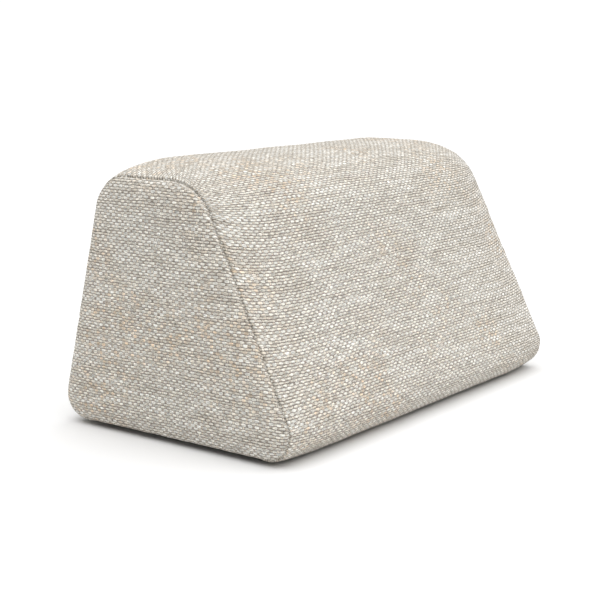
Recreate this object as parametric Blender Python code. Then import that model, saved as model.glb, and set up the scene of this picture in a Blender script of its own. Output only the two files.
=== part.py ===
"""Lumbar support cushion: a zipped woven cover over a foam core wrapped in wadding.

Metres, +Z up. X runs along the cushion, its front face looks along -Y, and the origin is the
middle of the footprint, on the surface that the cushion stands on.

Every cloth and wadding piece lies between two of the nested skins that skin_row() and end_row()
draw. A skin is named by its depth: how far it lies inside the cushion's outside.
"""

import math
from typing import NamedTuple

import bmesh
import bpy
from mathutils import Vector

# The block, between the corners where its faces would meet before they are rounded
HEIGHT = 0.250
BASE_DEPTH = 0.297
TOP_DEPTH = 0.128
TOP_SET_BACK = 0.024  # from the middle of the base to the middle of the top
FOOT_RADIUS = 0.0286
TOP_FRONT_RADIUS = 0.085
TOP_BACK_RADIUS = 0.0364

# The ends
SEAM_LENGTH = 0.458  # from end seam to end seam, at the foot
END_LEAN = 0.0057  # each end leans in by this much from foot to top
END_CROWN = 0.0069  # an end panel stands this far out past its seam
END_CROWN_WIDTH = 0.022  # and rises to it over this width

# The wrapped faces draw in towards the end seams
TAPER_LENGTH = 0.076
TAPER_TURN = math.radians(75.6)
SEAM_INSET_FRONT = 0.0044
SEAM_INSET_BACK = 0.0071
SEAM_INSET_TOP_FRONT = 0.0117
SEAM_DROP_TOP = 0.0126
SEAM_RISE_FOOT = 0.0048
SEAM_TOP_FRONT_RADIUS = 0.053
SEAM_TOP_BACK_RADIUS = 0.0362

# Layers
CLEARANCE = 0.0003  # between pieces that touch
CLOTH = 0.0016
TAPE = 0.0006
WADDING = 0.0100
SEAM_ALLOWANCE = 0.0090
WADDING_SEAM_GAP = 0.0007  # between the wadding and an end seam's allowances
BASE_SEAM_SETBACK = 0.0080  # from the foot's rounding to the seams of the base panel

# The zip, in the rounding of the rear foot
ZIP_ANGLE = math.radians(-32.0)  # where it lies on the rounding, below the horizontal
ZIP_END_DISTANCE = 0.050  # from an end seam to the end of the cover's opening
ZIP_END_TURN = 0.004  # length over which the opening's edges come together
ZIP_STEP_BACK = 0.0008  # the wadding's edges lie this far behind the cover's, along the zip
TAPE_UNDERLAP = 0.0088  # a tape reaches this far under the cover
TAPE_END_ROOM = 0.0020  # from the end of a tape to the end of the opening
CHAIN_END_ROOM = 0.0150  # from the end of the coils to the end of the opening
COIL_WIDTH = 0.00245
COIL_RISE = 0.00045  # the coils stand this far out of the cover
STOP_LENGTH = 0.0026
STOP_GRIP = 0.00055

# The slider and its pull
SLIDER_LENGTH = 0.0090
SLIDER_NARROWING = 0.0004  # on each side, from the shoulders to the tail
SLIDER_PLATE = 0.0008
SLIDER_NECK = 0.00045  # half thickness
SLIDER_FLANGE = 0.0006
SLIDER_STOP_ROOM = 0.0015
SLIDER_SIDE_ROOM = 0.0007  # from the slider's shoulders to the coils inside and the cover outside
NECK_ROOM = 0.00045  # between the slider's neck and the tapes
COIL_ROOM = 0.00040  # between the coils and the slider's upper plate
TAPE_ROOM = 0.00040
LOOP_HALF_LENGTH = 0.0031
LOOP_BAR = 0.0010
LOOP_HALF_WIDTH = 0.0008
LOOP_TOP = 0.0008
PULL_THICKNESS = 0.0010
PULL_ROOM = 0.00045  # round the pull's pivot bar, inside the loop
PULL_LENGTH = 0.0180  # from its pivot to its tip
PULL_PIVOT_BAR = 0.0013
PULL_EYE_ROOM = 0.00195  # past the end of the loop
PULL_HALF_WIDTH = 0.0027

# The blank care label, inside the back
LABEL_LENGTH = 0.030
LABEL_WIDTH = 0.016
LABEL_THICKNESS = 0.0004
LABEL_START = 0.090  # from the cushion's middle, along it
LABEL_ABOVE_FOOT = 0.012

# The core
FOAM_SPLIT = 0.120  # height of the glue line between the two slabs

# How finely curves are drawn
FOOT_STEPS = 6
TOP_FRONT_STEPS = 6
TOP_BACK_STEPS = 5
ZIP_SIDE_STEPS = 4
TAPE_STEPS = 3
TAPER_SHARES = (0.0, 0.07, 0.17, 0.33, 0.5, 0.84, 1.0)
CROWN_SHARES = (0.0, 0.09, 0.23, 0.42, 0.65, 1.0)
CORNER_STEPS = 4

# What follows from the sizes above
LEAST_RADIUS = 0.001
WADDING_DEPTH = CLOTH + CLEARANCE + TAPE + CLEARANCE
FOAM_DEPTH = WADDING_DEPTH + WADDING + CLEARANCE
TAPE_DEPTH = CLOTH + CLEARANCE
CLOTH_ON_SLANT = CLOTH * math.sqrt(2.0)
WADDING_SEAM_ROOM = CLOTH_ON_SLANT + WADDING_SEAM_GAP
TAPE_HALF_SLOT = SLIDER_NECK + NECK_ROOM
COIL_INNER = SLIDER_NECK + CLEARANCE
COIL_OUTER = COIL_INNER + COIL_WIDTH
SLIDER_SHOULDER = COIL_OUTER + SLIDER_SIDE_ROOM + SLIDER_FLANGE
ZIP_HALF_OPENING = SLIDER_SHOULDER + SLIDER_SIDE_ROOM
WADDING_HALF_OPENING = ZIP_HALF_OPENING + ZIP_STEP_BACK
ZIP_MARGIN = WADDING_HALF_OPENING + ZIP_STEP_BACK  # panels are drawn alike from here outwards
TAPE_REACH = ZIP_HALF_OPENING + TAPE_UNDERLAP
PULL_EYE_HALF_WIDTH = LOOP_HALF_WIDTH + PULL_ROOM
CHAIN_HALF_LENGTH = SEAM_LENGTH / 2 - ZIP_END_DISTANCE - CHAIN_END_ROOM
SLIDER_X = CHAIN_HALF_LENGTH - SLIDER_STOP_ROOM - SLIDER_LENGTH / 2
ZIP_TURN = (ZIP_ANGLE - math.pi / 2, 0.0, 0.0)


class Corner(NamedTuple):
    """A corner of a section before rounding, and the radius it is rounded to."""

    y: float
    z: float
    radius: float


def unit(y, z):
    length = math.hypot(y, z)
    return y / length, z / length


def inward_normals(section, index):
    """The inward normals of the sides that arrive at a corner and leave it."""
    normals = []
    for start in (index - 1, index):
        first = section[start % 4]
        second = section[(start + 1) % 4]
        along_y, along_z = unit(second.y - first.y, second.z - first.z)
        normals.append((along_z, -along_y))
    return normals


def offset_from_corner(section, index, distance):
    """The point that lies the given distance inside both sides of a corner."""
    (arrive_y, arrive_z), (leave_y, leave_z) = inward_normals(section, index)
    share = distance / (1.0 + arrive_y * leave_y + arrive_z * leave_z)
    corner = section[index]
    return corner.y + (arrive_y + leave_y) * share, corner.z + (arrive_z + leave_z) * share


def inset_section(section, depth):
    """The section whose sides all lie depth further in."""
    corners = []
    for index, corner in enumerate(section):
        y, z = offset_from_corner(section, index, depth)
        corners.append(Corner(y, z, max(corner.radius - depth, LEAST_RADIUS)))
    return tuple(corners)


def rounding(section, index):
    """Centre, radius, first and last angle of a corner's arc, which turns clockwise."""
    radius = section[index].radius
    centre = offset_from_corner(section, index, radius)
    angles = []
    for normal_y, normal_z in inward_normals(section, index):
        angles.append(math.atan2(-normal_z, -normal_y))
    first, last = angles
    while last > first:
        last -= 2 * math.pi
    while first > math.pi + last + 1e-9:
        first -= 2 * math.pi
    return centre, radius, first, last


def on_arc(section, index, angle):
    """The point of a corner's arc at an angle."""
    (centre_y, centre_z), radius, _, _ = rounding(section, index)
    return centre_y + radius * math.cos(angle), centre_z + radius * math.sin(angle)


def arc(section, index, steps, first=None, last=None):
    """Points along a corner's arc, or along the stretch of it between two angles."""
    _, _, whole_first, whole_last = rounding(section, index)
    first = whole_first if first is None else first
    last = whole_last if last is None else last
    turn = (last - first) / steps
    return [on_arc(section, index, first + turn * step) for step in range(steps + 1)]


def zip_edge_angle(half_opening):
    """Where, on the rear foot's arc, the cover's opening has its edge."""
    return ZIP_ANGLE + half_opening / FOOT_RADIUS


def section_at_middle():
    """The section at mid-length, with the middle of its footprint at Y = 0."""
    half = BASE_DEPTH / 2
    top_front = TOP_SET_BACK - TOP_DEPTH / 2
    top_back = TOP_SET_BACK + TOP_DEPTH / 2
    section = (
        Corner(-half, 0.0, FOOT_RADIUS),
        Corner(top_front, HEIGHT, TOP_FRONT_RADIUS),
        Corner(top_back, HEIGHT, TOP_BACK_RADIUS),
        Corner(half, 0.0, FOOT_RADIUS),
    )
    (front_y, _), front_radius, _, _ = rounding(section, 0)
    (back_y, _), back_radius, _, _ = rounding(section, 3)
    middle = (front_y - front_radius + back_y + back_radius) / 2
    return tuple(Corner(corner.y - middle, corner.z, corner.radius) for corner in section)


def section_at_seam(middle):
    """The outline of the end seams, which the faces draw in to."""
    front_foot, front_top, back_top, back_foot = middle
    top = HEIGHT - SEAM_DROP_TOP
    foot_radius = FOOT_RADIUS - SEAM_RISE_FOOT
    return (
        Corner(front_foot.y + SEAM_INSET_FRONT, SEAM_RISE_FOOT, foot_radius),
        Corner(front_top.y + SEAM_INSET_TOP_FRONT, top, SEAM_TOP_FRONT_RADIUS),
        Corner(back_top.y, top, SEAM_TOP_BACK_RADIUS),
        Corner(back_foot.y - SEAM_INSET_BACK, SEAM_RISE_FOOT, foot_radius),
    )


MIDDLE = section_at_middle()
SEAM = section_at_seam(MIDDLE)
FRONT_BASE_SEAM = rounding(MIDDLE, 0)[0][0] + BASE_SEAM_SETBACK
BACK_BASE_SEAM = rounding(SEAM, 3)[0][0] - BASE_SEAM_SETBACK


def halfway(first, second):
    return (first[0] + second[0]) / 2, (first[1] + second[1]) / 2


def main_columns(section, half_opening, seam_room=0.0):
    """Round the section from the front base seam, over the top, to the zip's upper edge."""
    front_foot = arc(section, 0, FOOT_STEPS)
    front_top = arc(section, 1, TOP_FRONT_STEPS)
    back_top = arc(section, 2, TOP_BACK_STEPS)
    back_foot = arc(section, 3, ZIP_SIDE_STEPS, last=zip_edge_angle(ZIP_MARGIN))
    back_foot.append(on_arc(section, 3, zip_edge_angle(half_opening)))
    points = [(FRONT_BASE_SEAM - seam_room, section[0].z)]
    points += front_foot
    points.append(halfway(front_foot[-1], front_top[0]))
    points += front_top
    points += back_top
    points.append(halfway(back_top[-1], back_foot[0]))
    points += back_foot
    return points


def strip_columns(section, half_opening, seam_room=0.0):
    """From the zip's lower edge, round the rear foot, to the back base seam."""
    points = [on_arc(section, 3, zip_edge_angle(-half_opening))]
    points += arc(section, 3, ZIP_SIDE_STEPS, first=zip_edge_angle(-ZIP_MARGIN))
    points.append((BACK_BASE_SEAM + seam_room, section[3].z))
    return points


def base_columns(section, half_opening, seam_room=0.0):
    """Across the underside, from the back base seam to the front one."""
    foot = section[0].z
    back = (BACK_BASE_SEAM - seam_room, foot)
    front = (FRONT_BASE_SEAM + seam_room, foot)
    return [back, halfway(back, front), front]


def strip_and_base_columns(section, half_opening, seam_room=0.0):
    """From the zip's lower edge to the front base seam, in one sweep."""
    points = strip_columns(section, half_opening)[:-1]
    return points + base_columns(section, half_opening, seam_room)


def tape_columns(side):
    """Columns of a zip tape: side is +1 above the zip's middle and -1 below it."""

    def columns(section, half_opening, seam_room=0.0):
        inner = zip_edge_angle(side * TAPE_HALF_SLOT)
        outer = zip_edge_angle(side * TAPE_REACH)
        return arc(section, 3, TAPE_STEPS, first=inner, last=outer)

    return columns


def whole_loop(section, half_opening=0.0, seam_room=0.0):
    """The whole way round a section, once, as if the zip's opening were closed."""
    points = main_columns(section, 0.0)[:-1]
    points += strip_columns(section, 0.0)[:-1]
    points += base_columns(section, 0.0)[:-1]
    return points


def end_seam_x(z):
    """How far along X the end seams lie at a height."""
    return SEAM_LENGTH / 2 - END_LEAN * z / HEIGHT


def taper_share(distance):
    """How far the faces have drawn in, from 0 to 1, at a distance from the end seam."""
    if distance >= TAPER_LENGTH:
        return 0.0
    angle = math.asin(math.sin(TAPER_TURN) * (1.0 - distance / TAPER_LENGTH))
    return (1.0 - math.cos(angle)) / (1.0 - math.cos(TAPER_TURN))


def half_opening_at(distance, open_width):
    """Half the width of the cover's rear opening at a distance from the end seam."""
    if distance <= ZIP_END_DISTANCE:
        return CLEARANCE / 2
    return open_width


def skin_row(columns, side, distance, depth, open_width=0.0, seam_room=0.0):
    """A row of points round a skin, at a distance from one end seam; None is mid-length."""
    drawn_in = 0.0 if distance is None else taper_share(distance)
    half_opening = open_width if distance is None else half_opening_at(distance, open_width)
    middle = columns(inset_section(MIDDLE, depth), half_opening, seam_room)
    seam = columns(inset_section(SEAM, depth), half_opening, seam_room)
    row = []
    for (middle_y, middle_z), (seam_y, seam_z) in zip(middle, seam):
        y = middle_y + (seam_y - middle_y) * drawn_in
        z = middle_z + (seam_z - middle_z) * drawn_in
        x = 0.0
        if distance is not None:
            x = side * (end_seam_x(z) - CLEARANCE - depth - distance)
        row.append(Vector((x, y, z)))
    return row


def allowance_row(columns, side, shift, seam_room=0.0):
    """The free edge of a seam allowance that is turned in from an end seam."""
    points = columns(inset_section(SEAM, SEAM_ALLOWANCE), CLEARANCE / 2, seam_room)
    reach = SEAM_ALLOWANCE + CLEARANCE + shift
    return [Vector((side * (end_seam_x(z) - reach), y, z)) for y, z in points]


def taper_stations(first=0.0):
    """Distances from an end seam where a row is drawn, from first inwards."""
    stations = [share * TAPER_LENGTH for share in TAPER_SHARES]
    stations += [ZIP_END_DISTANCE, ZIP_END_DISTANCE + ZIP_END_TURN]
    return [first] + sorted(station for station in stations if station > first + CLOTH_ON_SLANT)


def both_ends(make_row, stations):
    """Rows from one end of the cushion to the other."""
    rows = [make_row(-1, station) for station in stations]
    rows.append(make_row(1, None))
    rows += [make_row(1, station) for station in reversed(stations)]
    return rows


def material(name, color, roughness, metallic=0.0):
    """A Principled material."""
    made = bpy.data.materials.new(name)
    made.use_nodes = True
    shader = made.node_tree.nodes["Principled BSDF"]
    shader.inputs["Base Color"].default_value = (*color, 1.0)
    shader.inputs["Roughness"].default_value = roughness
    shader.inputs["Metallic"].default_value = metallic
    return made


def add_object(name, mesh, finish, smooth=True):
    """An object in the scene for a finished mesh."""
    if smooth:
        mesh.shade_smooth()
        mesh.set_sharp_from_angle(angle=math.radians(40))
    mesh.materials.append(finish)
    made = bpy.data.objects.new(name, mesh)
    bpy.context.scene.collection.objects.link(made)
    return made


def mesh_from(name, build):
    """A mesh whose faces are made by build(bmesh) and point outwards."""
    solid = bmesh.new()
    build(solid)
    bmesh.ops.recalc_face_normals(solid, faces=solid.faces)
    mesh = bpy.data.meshes.new(name)
    solid.to_mesh(mesh)
    solid.free()
    return mesh


def sheet(name, outer, inner, finish, closed=False):
    """A piece of cloth between two grids of points: closed rows are loops round an end."""

    def build(solid):
        grids = []
        for rows in (outer, inner):
            grids.append([[solid.verts.new(point) for point in row] for row in rows])
        count = len(outer[0])
        spans = count if closed else count - 1
        for grid in grids:
            for lower, upper in zip(grid, grid[1:]):
                for column in range(spans):
                    after = (column + 1) % count
                    solid.faces.new((lower[column], lower[after], upper[after], upper[column]))
            if closed:
                solid.faces.new(grid[-1])
        borders = [(grids[0][0], grids[1][0], spans)]
        if not closed:
            borders.append((grids[0][-1], grids[1][-1], spans))
            for column in (0, -1):
                edges = [[row[column] for row in grid] for grid in grids]
                borders.append((edges[0], edges[1], len(outer) - 1))
        for first, second, steps in borders:
            for step in range(steps):
                after = (step + 1) % len(first)
                solid.faces.new((first[step], first[after], second[after], second[step]))

    return add_object(name, mesh_from(name, build), finish)


def cover_panel(name, columns, finish, seam_room=0.0):
    """A panel that runs from end seam to end seam, with its allowances turned in."""
    stations = taper_stations()

    def row(depth, first):
        def make(side, station):
            distance = first if station == 0.0 else station
            return skin_row(columns, side, distance, depth, ZIP_HALF_OPENING, seam_room)

        return make

    outer = both_ends(row(0.0, 0.0), stations)
    inner = both_ends(row(CLOTH, CLOTH_ON_SLANT), stations)
    outer_edges = [allowance_row(columns, side, 0.0, seam_room) for side in (-1, 1)]
    inner_edges = [allowance_row(columns, side, CLOTH_ON_SLANT, seam_room) for side in (-1, 1)]
    return sheet(
        name,
        [outer_edges[0], *outer, outer_edges[1]],
        [inner_edges[0], *inner, inner_edges[1]],
        finish,
    )


def crown(reach):
    """How far an end panel stands out at a distance inside its seam."""
    left = max(1.0 - reach / END_CROWN_WIDTH, 0.0)
    return END_CROWN * math.sqrt(1.0 - left * left)


def end_row(side, reach, depth):
    """A loop of points round an end skin, at a distance inside the seam."""
    points = whole_loop(inset_section(SEAM, depth + reach))
    return [Vector((side * (end_seam_x(z) - depth + crown(reach)), y, z)) for y, z in points]


def end_panel(name, side, finish):
    """An end panel, with its allowance turned in beside the wrapped panels' own."""
    reaches = [share * END_CROWN_WIDTH for share in CROWN_SHARES]
    inner_corner = CLOTH / 2
    outer = [end_row(side, reach, 0.0) for reach in reaches]
    inner = [end_row(side, max(reach, inner_corner), CLOTH) for reach in reaches]
    edge = whole_loop(inset_section(SEAM, SEAM_ALLOWANCE))
    for rows, shift in ((outer, 0.0), (inner, CLOTH_ON_SLANT)):
        x = SEAM_ALLOWANCE - shift
        rows.insert(0, [Vector((side * (end_seam_x(z) - x), y, z)) for y, z in edge])
    return sheet(name, outer, inner, finish, closed=True)


def wadding_panel(name, columns, finish):
    """Wadding behind a wrapped panel."""
    stations = taper_stations(WADDING_SEAM_ROOM)

    def row(depth):
        def make(side, station):
            return skin_row(
                columns, side, station, depth, WADDING_HALF_OPENING, CLEARANCE / 2
            )

        return make

    inner_depth = WADDING_DEPTH + WADDING
    return sheet(
        name,
        both_ends(row(WADDING_DEPTH), stations),
        both_ends(row(inner_depth), stations),
        finish,
    )


def padded_end_rows(side, depth):
    """Rows of an end skin under the end panel, from beside its allowance to its flat middle."""
    reaches = (WADDING_SEAM_ROOM, END_CROWN_WIDTH / 2, END_CROWN_WIDTH)
    return [end_row(side, reach, depth) for reach in reaches]


def wadding_end(name, side, finish):
    """Wadding behind an end panel."""
    outer = padded_end_rows(side, WADDING_DEPTH)
    inner = padded_end_rows(side, WADDING_DEPTH + WADDING)
    return sheet(name, outer, inner, finish, closed=True)


def foam_slab(name, finish, keep_above):
    """One of the two slabs that the core is glued up from."""

    def make_row(side, station):
        return skin_row(whole_loop, side, station, FOAM_DEPTH)

    rows = both_ends(make_row, taper_stations())
    rows = padded_end_rows(-1, FOAM_DEPTH)[::-1] + rows + padded_end_rows(1, FOAM_DEPTH)

    def build(solid):
        grid = [[solid.verts.new(point) for point in row] for row in rows]
        count = len(rows[0])
        for lower, upper in zip(grid, grid[1:]):
            for column in range(count):
                after = (column + 1) % count
                solid.faces.new((lower[column], lower[after], upper[after], upper[column]))
        solid.faces.new(grid[0])
        solid.faces.new(grid[-1])
        side = 1 if keep_above else -1
        cut = bmesh.ops.bisect_plane(
            solid,
            geom=solid.verts[:] + solid.edges[:] + solid.faces[:],
            dist=1e-7,
            plane_co=(0.0, 0.0, FOAM_SPLIT + side * CLEARANCE / 2),
            plane_no=(0.0, 0.0, side),
            clear_inner=True,
        )
        rim = [item for item in cut["geom_cut"] if isinstance(item, bmesh.types.BMEdge)]
        bmesh.ops.contextual_create(solid, geom=rim)

    return add_object(name, mesh_from(name, build), finish)


def zip_tape(name, side, finish):
    """One of the two tapes, sewn under the edge of the cover's opening."""
    first = ZIP_END_DISTANCE + TAPE_END_ROOM
    stations = taper_stations(first)
    columns = tape_columns(side)
    layers = []
    for depth in (TAPE_DEPTH, TAPE_DEPTH + TAPE):
        layers.append(
            both_ends(lambda end, station: skin_row(columns, end, station, depth), stations)
        )
    return sheet(name, layers[0], layers[1], finish)


def extruded(name, outline, start, end, axis, hole=None):
    """A prism: outline points lie in the plane across axis X, Y or Z, from start to end."""

    def place(first, second, along):
        return {
            "X": Vector((along, first, second)),
            "Y": Vector((first, along, second)),
            "Z": Vector((first, second, along)),
        }[axis]

    def build(solid):
        loops = [outline] if hole is None else [outline, hole]
        rings = []
        for points in loops:
            rings.append([[solid.verts.new(place(*point, along)) for point in points]
                          for along in (start, end)])
        for low, high in rings:
            for step in range(len(low)):
                after = (step + 1) % len(low)
                solid.faces.new((low[step], low[after], high[after], high[step]))
        for level in (0, 1):
            if hole is None:
                solid.faces.new(rings[0][level])
                continue
            rims = []
            for ring in rings:
                loop = ring[level]
                rims += [solid.edges.get((loop[step - 1], loop[step])) for step in range(len(loop))]
            bmesh.ops.triangle_fill(solid, use_beauty=True, edges=rims)

    return mesh_from(name, build)


def rounded_outline(corners, radius):
    """A convex outline with its corners rounded."""
    points = []
    for index, (x, y) in enumerate(corners):
        corner = Vector((x, y))
        before = (Vector(corners[index - 1]) - corner).normalized()
        after = (Vector(corners[(index + 1) % len(corners)]) - corner).normalized()
        half = before.angle(after) / 2
        centre = corner + (before + after).normalized() * radius / math.sin(half)
        start = corner + before * radius / math.tan(half) - centre
        turn = start.angle_signed(corner + after * radius / math.tan(half) - centre)
        for step in range(CORNER_STEPS + 1):
            angle = -turn * step / CORNER_STEPS
            swung = Vector((
                start.x * math.cos(angle) - start.y * math.sin(angle),
                start.x * math.sin(angle) + start.y * math.cos(angle),
            ))
            points.append(tuple(centre + swung))
    return points


def place_on_zip(made, x, rise=0.0):
    """Sets a zip piece on the zip's middle line: its own Z points out of the cover there."""
    (centre_y, centre_z), _, _, _ = rounding(MIDDLE, 3)
    reach = FOOT_RADIUS + rise
    y = centre_y + reach * math.cos(ZIP_ANGLE)
    z = centre_z + reach * math.sin(ZIP_ANGLE)
    made.location = (x, y, z)
    made.rotation_euler = ZIP_TURN
    return made


def zip_coil(name, side, finish):
    """One coil as a plain half-round rod: side is +1 above the zip's middle."""
    middle = (COIL_INNER + COIL_OUTER) / 2
    half = (COIL_OUTER - COIL_INNER) / 2
    shoulder = COIL_RISE - half
    outline = [(-side * COIL_OUTER, -CLOTH), (-side * COIL_INNER, -CLOTH)]
    for step in range(CORNER_STEPS + 1):
        angle = math.pi * step / CORNER_STEPS
        outline.append((-side * (middle - half * math.cos(angle)),
                        shoulder + half * math.sin(angle)))
    mesh = extruded(name, outline, -CHAIN_HALF_LENGTH, CHAIN_HALF_LENGTH, "X")
    return place_on_zip(add_object(name, mesh, finish), 0.0)


def stop_levels():
    """Heights of a stop's faces: its top, over the tape, under the tape, its bottom."""
    curve_drop = COIL_OUTER**2 / (2 * FOOT_RADIUS)
    over = -CLOTH
    under = -TAPE_DEPTH - TAPE - curve_drop - CLEARANCE
    return COIL_RISE - CLEARANCE, over, under, under - STOP_GRIP


def zip_top_stop(name, side, finish):
    """A metal clip folded round the edge of one tape, where the coil ends."""
    top, over, under, bottom = stop_levels()
    edge = CLEARANCE
    bend = TAPE_HALF_SLOT - CLEARANCE
    across = [(edge, top), (COIL_OUTER, top), (COIL_OUTER, over), (bend, over),
              (bend, under), (COIL_OUTER, under), (COIL_OUTER, bottom), (edge, bottom)]
    outline = [(-side * y, z) for y, z in across]
    start = CHAIN_HALF_LENGTH + CLEARANCE
    mesh = extruded(name, outline, start, start + STOP_LENGTH, "X")
    return place_on_zip(add_object(name, mesh, finish, smooth=False), 0.0)


def zip_bottom_stop(name, finish):
    """A wide clip through both tapes, where the zip's opening ends."""
    top, over, under, bottom = stop_levels()
    web = TAPE_HALF_SLOT - CLEARANCE
    right = [(COIL_OUTER, top), (COIL_OUTER, over), (web, over),
             (web, under), (COIL_OUTER, under), (COIL_OUTER, bottom)]
    outline = right + [(-y, z) for y, z in reversed(right)]
    end = -CHAIN_HALF_LENGTH - CLEARANCE
    mesh = extruded(name, outline, end - STOP_LENGTH, end, "X")
    return place_on_zip(add_object(name, mesh, finish, smooth=False), 0.0)


def slider_levels():
    """Heights of the slider's faces: plate top, tunnel top, flange, floor top, floor bottom."""
    tunnel = COIL_RISE + COIL_ROOM
    flange = -TAPE_DEPTH + TAPE_ROOM
    curve_drop = SLIDER_SHOULDER**2 / (2 * FOOT_RADIUS)
    floor = -TAPE_DEPTH - TAPE - curve_drop - TAPE_ROOM
    return tunnel + SLIDER_PLATE, tunnel, flange, floor, floor - SLIDER_PLATE


def pull_pivot_rise():
    """Height of the pull's pivot above the cover."""
    return slider_levels()[0] + PULL_ROOM + PULL_THICKNESS / 2


def helper(name, mesh, like):
    """A shape that a Boolean uses and that is no part of the cushion."""
    made = bpy.data.objects.new(name, mesh)
    bpy.context.scene.collection.objects.link(made)
    made.location = like.location
    made.rotation_euler = like.rotation_euler
    made.hide_render = True
    made.display_type = "WIRE"
    return made


def combine(target, name, operation, mesh):
    """Adds a Boolean to an object."""
    cut = target.modifiers.new(name, "BOOLEAN")
    cut.operation = operation
    cut.solver = "EXACT"
    cut.object = helper(f"{target.name}_{name}", mesh, target)


def zip_slider(name, finish):
    """Two plates on a neck, with flanges round the coils and a loop for the pull."""
    plate_top, tunnel, flange, floor, bottom = slider_levels()
    wide = SLIDER_SHOULDER
    half = [(wide, plate_top), (wide, flange), (wide - SLIDER_FLANGE, flange),
            (wide - SLIDER_FLANGE, tunnel), (SLIDER_NECK, tunnel), (SLIDER_NECK, floor),
            (wide, floor), (wide, bottom)]
    outline = half + [(-y, z) for y, z in reversed(half)]
    half_length = SLIDER_LENGTH / 2
    made = add_object(name, extruded(name, outline, -half_length, half_length, "X"), finish)
    place_on_zip(made, SLIDER_X)

    narrow = wide - SLIDER_NARROWING
    plan = rounded_outline(
        [(-half_length, -narrow), (half_length, -wide), (half_length, wide),
         (-half_length, narrow)],
        SLIDER_LENGTH / 6,
    )
    plan_mesh = extruded("plan", plan, bottom - CLOTH, plate_top + CLOTH, "Z")
    combine(made, "plan", "INTERSECT", plan_mesh)

    root = plate_top - SLIDER_PLATE / 2
    loop_inside = plate_top + 2 * PULL_ROOM + PULL_THICKNESS
    loop_top = loop_inside + LOOP_TOP
    outer = LOOP_HALF_LENGTH
    inner = outer - LOOP_BAR
    loop = [(-outer, root), (-inner, root), (-inner, loop_inside), (inner, loop_inside),
            (inner, root), (outer, root), (outer, loop_top - LOOP_TOP / 2),
            (outer - LOOP_BAR / 2, loop_top), (LOOP_BAR / 2 - outer, loop_top),
            (-outer, loop_top - LOOP_TOP / 2)]
    loop_mesh = extruded("loop", loop, -LOOP_HALF_WIDTH, LOOP_HALF_WIDTH, "Y")
    combine(made, "loop", "UNION", loop_mesh)
    return made


def zip_pull(name, finish):
    """The pull, with its origin on its pivot bar, lying along the closed coils."""
    bar = PULL_PIVOT_BAR / 2
    wide = PULL_HALF_WIDTH
    outline = rounded_outline(
        [(-PULL_LENGTH, -wide), (bar, -wide), (bar, wide), (-PULL_LENGTH, wide)], bar
    )
    eye_end = -LOOP_HALF_LENGTH - PULL_EYE_ROOM
    eye_side = PULL_EYE_HALF_WIDTH
    eye = rounded_outline(
        [(eye_end, -eye_side), (-bar, -eye_side), (-bar, eye_side), (eye_end, eye_side)], bar / 2
    )
    half = PULL_THICKNESS / 2
    mesh = extruded(name, outline, -half, half, "Z", hole=eye)
    return place_on_zip(add_object(name, mesh, finish), SLIDER_X, pull_pivot_rise())


def care_label(name, finish):
    """A blank label, sewn flat to the inside of the back."""
    layers = []
    for depth in (TAPE_DEPTH, TAPE_DEPTH + LABEL_THICKNESS):
        section = inset_section(MIDDLE, depth)
        foot = Vector(arc(section, 3, FOOT_STEPS)[0])
        up = (Vector(arc(section, 2, TOP_BACK_STEPS)[-1]) - foot).normalized()
        low = foot + up * LABEL_ABOVE_FOOT
        high = low + up * LABEL_LENGTH
        rows = []
        for x in (LABEL_START, LABEL_START + LABEL_WIDTH):
            rows.append([Vector((x, high.x, high.y)), Vector((x, low.x, low.y))])
        layers.append(rows)
    return sheet(name, layers[0], layers[1], finish)


def clear_scene():
    for item in list(bpy.data.objects):
        bpy.data.objects.remove(item, do_unlink=True)


def build_cushion():
    """Makes every piece of the cushion."""
    clear_scene()
    woven = material("woven_cover", (0.62, 0.57, 0.50), 0.90)
    grip = material("grip_cloth", (0.16, 0.15, 0.14), 0.85)
    tape = material("zip_tape_cloth", (0.55, 0.50, 0.43), 0.85)
    nylon = material("zip_nylon", (0.60, 0.55, 0.47), 0.45)
    metal = material("zip_metal", (0.50, 0.48, 0.45), 0.35, metallic=1.0)
    satin = material("label_satin", (0.85, 0.84, 0.80), 0.50)
    fibre = material("polyester_wadding", (0.90, 0.90, 0.88), 0.95)
    firm = material("firm_foam", (0.55, 0.62, 0.70), 0.95)
    soft = material("soft_foam", (0.86, 0.82, 0.66), 0.95)

    cover_panel("cover_main_panel", main_columns, woven)
    cover_panel("cover_rear_strip", strip_columns, woven)
    cover_panel("base_panel", base_columns, grip, seam_room=CLEARANCE)
    end_panel("cover_left_end_panel", -1, woven)
    end_panel("cover_right_end_panel", 1, woven)

    zip_tape("zip_tape_upper", 1, tape)
    zip_tape("zip_tape_lower", -1, tape)
    zip_coil("zip_coil_upper", 1, nylon)
    zip_coil("zip_coil_lower", -1, nylon)
    zip_top_stop("zip_top_stop_upper", 1, metal)
    zip_top_stop("zip_top_stop_lower", -1, metal)
    zip_bottom_stop("zip_bottom_stop", metal)
    zip_slider("zip_slider", metal)
    zip_pull("zip_pull", metal)
    care_label("care_label", satin)

    wadding_panel("wadding_main", main_columns, fibre)
    wadding_panel("wadding_base", strip_and_base_columns, fibre)
    wadding_end("wadding_left_end", -1, fibre)
    wadding_end("wadding_right_end", 1, fibre)
    foam_slab("foam_core_lower", firm, keep_above=False)
    foam_slab("foam_core_upper", soft, keep_above=True)


build_cushion()
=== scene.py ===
"""Looks of the lumbar support cushion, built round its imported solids.

Metres, +Z up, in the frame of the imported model. X runs along the cushion, whose front looks
along -Y.

The panels of the cover are fine meshes on the same tapering form as the solids. Whatever gives the
cloth relief, such as the furrow of a seam, a pucker or the swell of the stuffing, is a depth below
that form, so neighbouring panels keep meeting. Each panel has a UV map in metres along its yarns.
"""

from __future__ import annotations

import logging
import math
from dataclasses import dataclass, field, replace
from enum import Enum
from typing import Iterable, Sequence, Union

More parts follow.
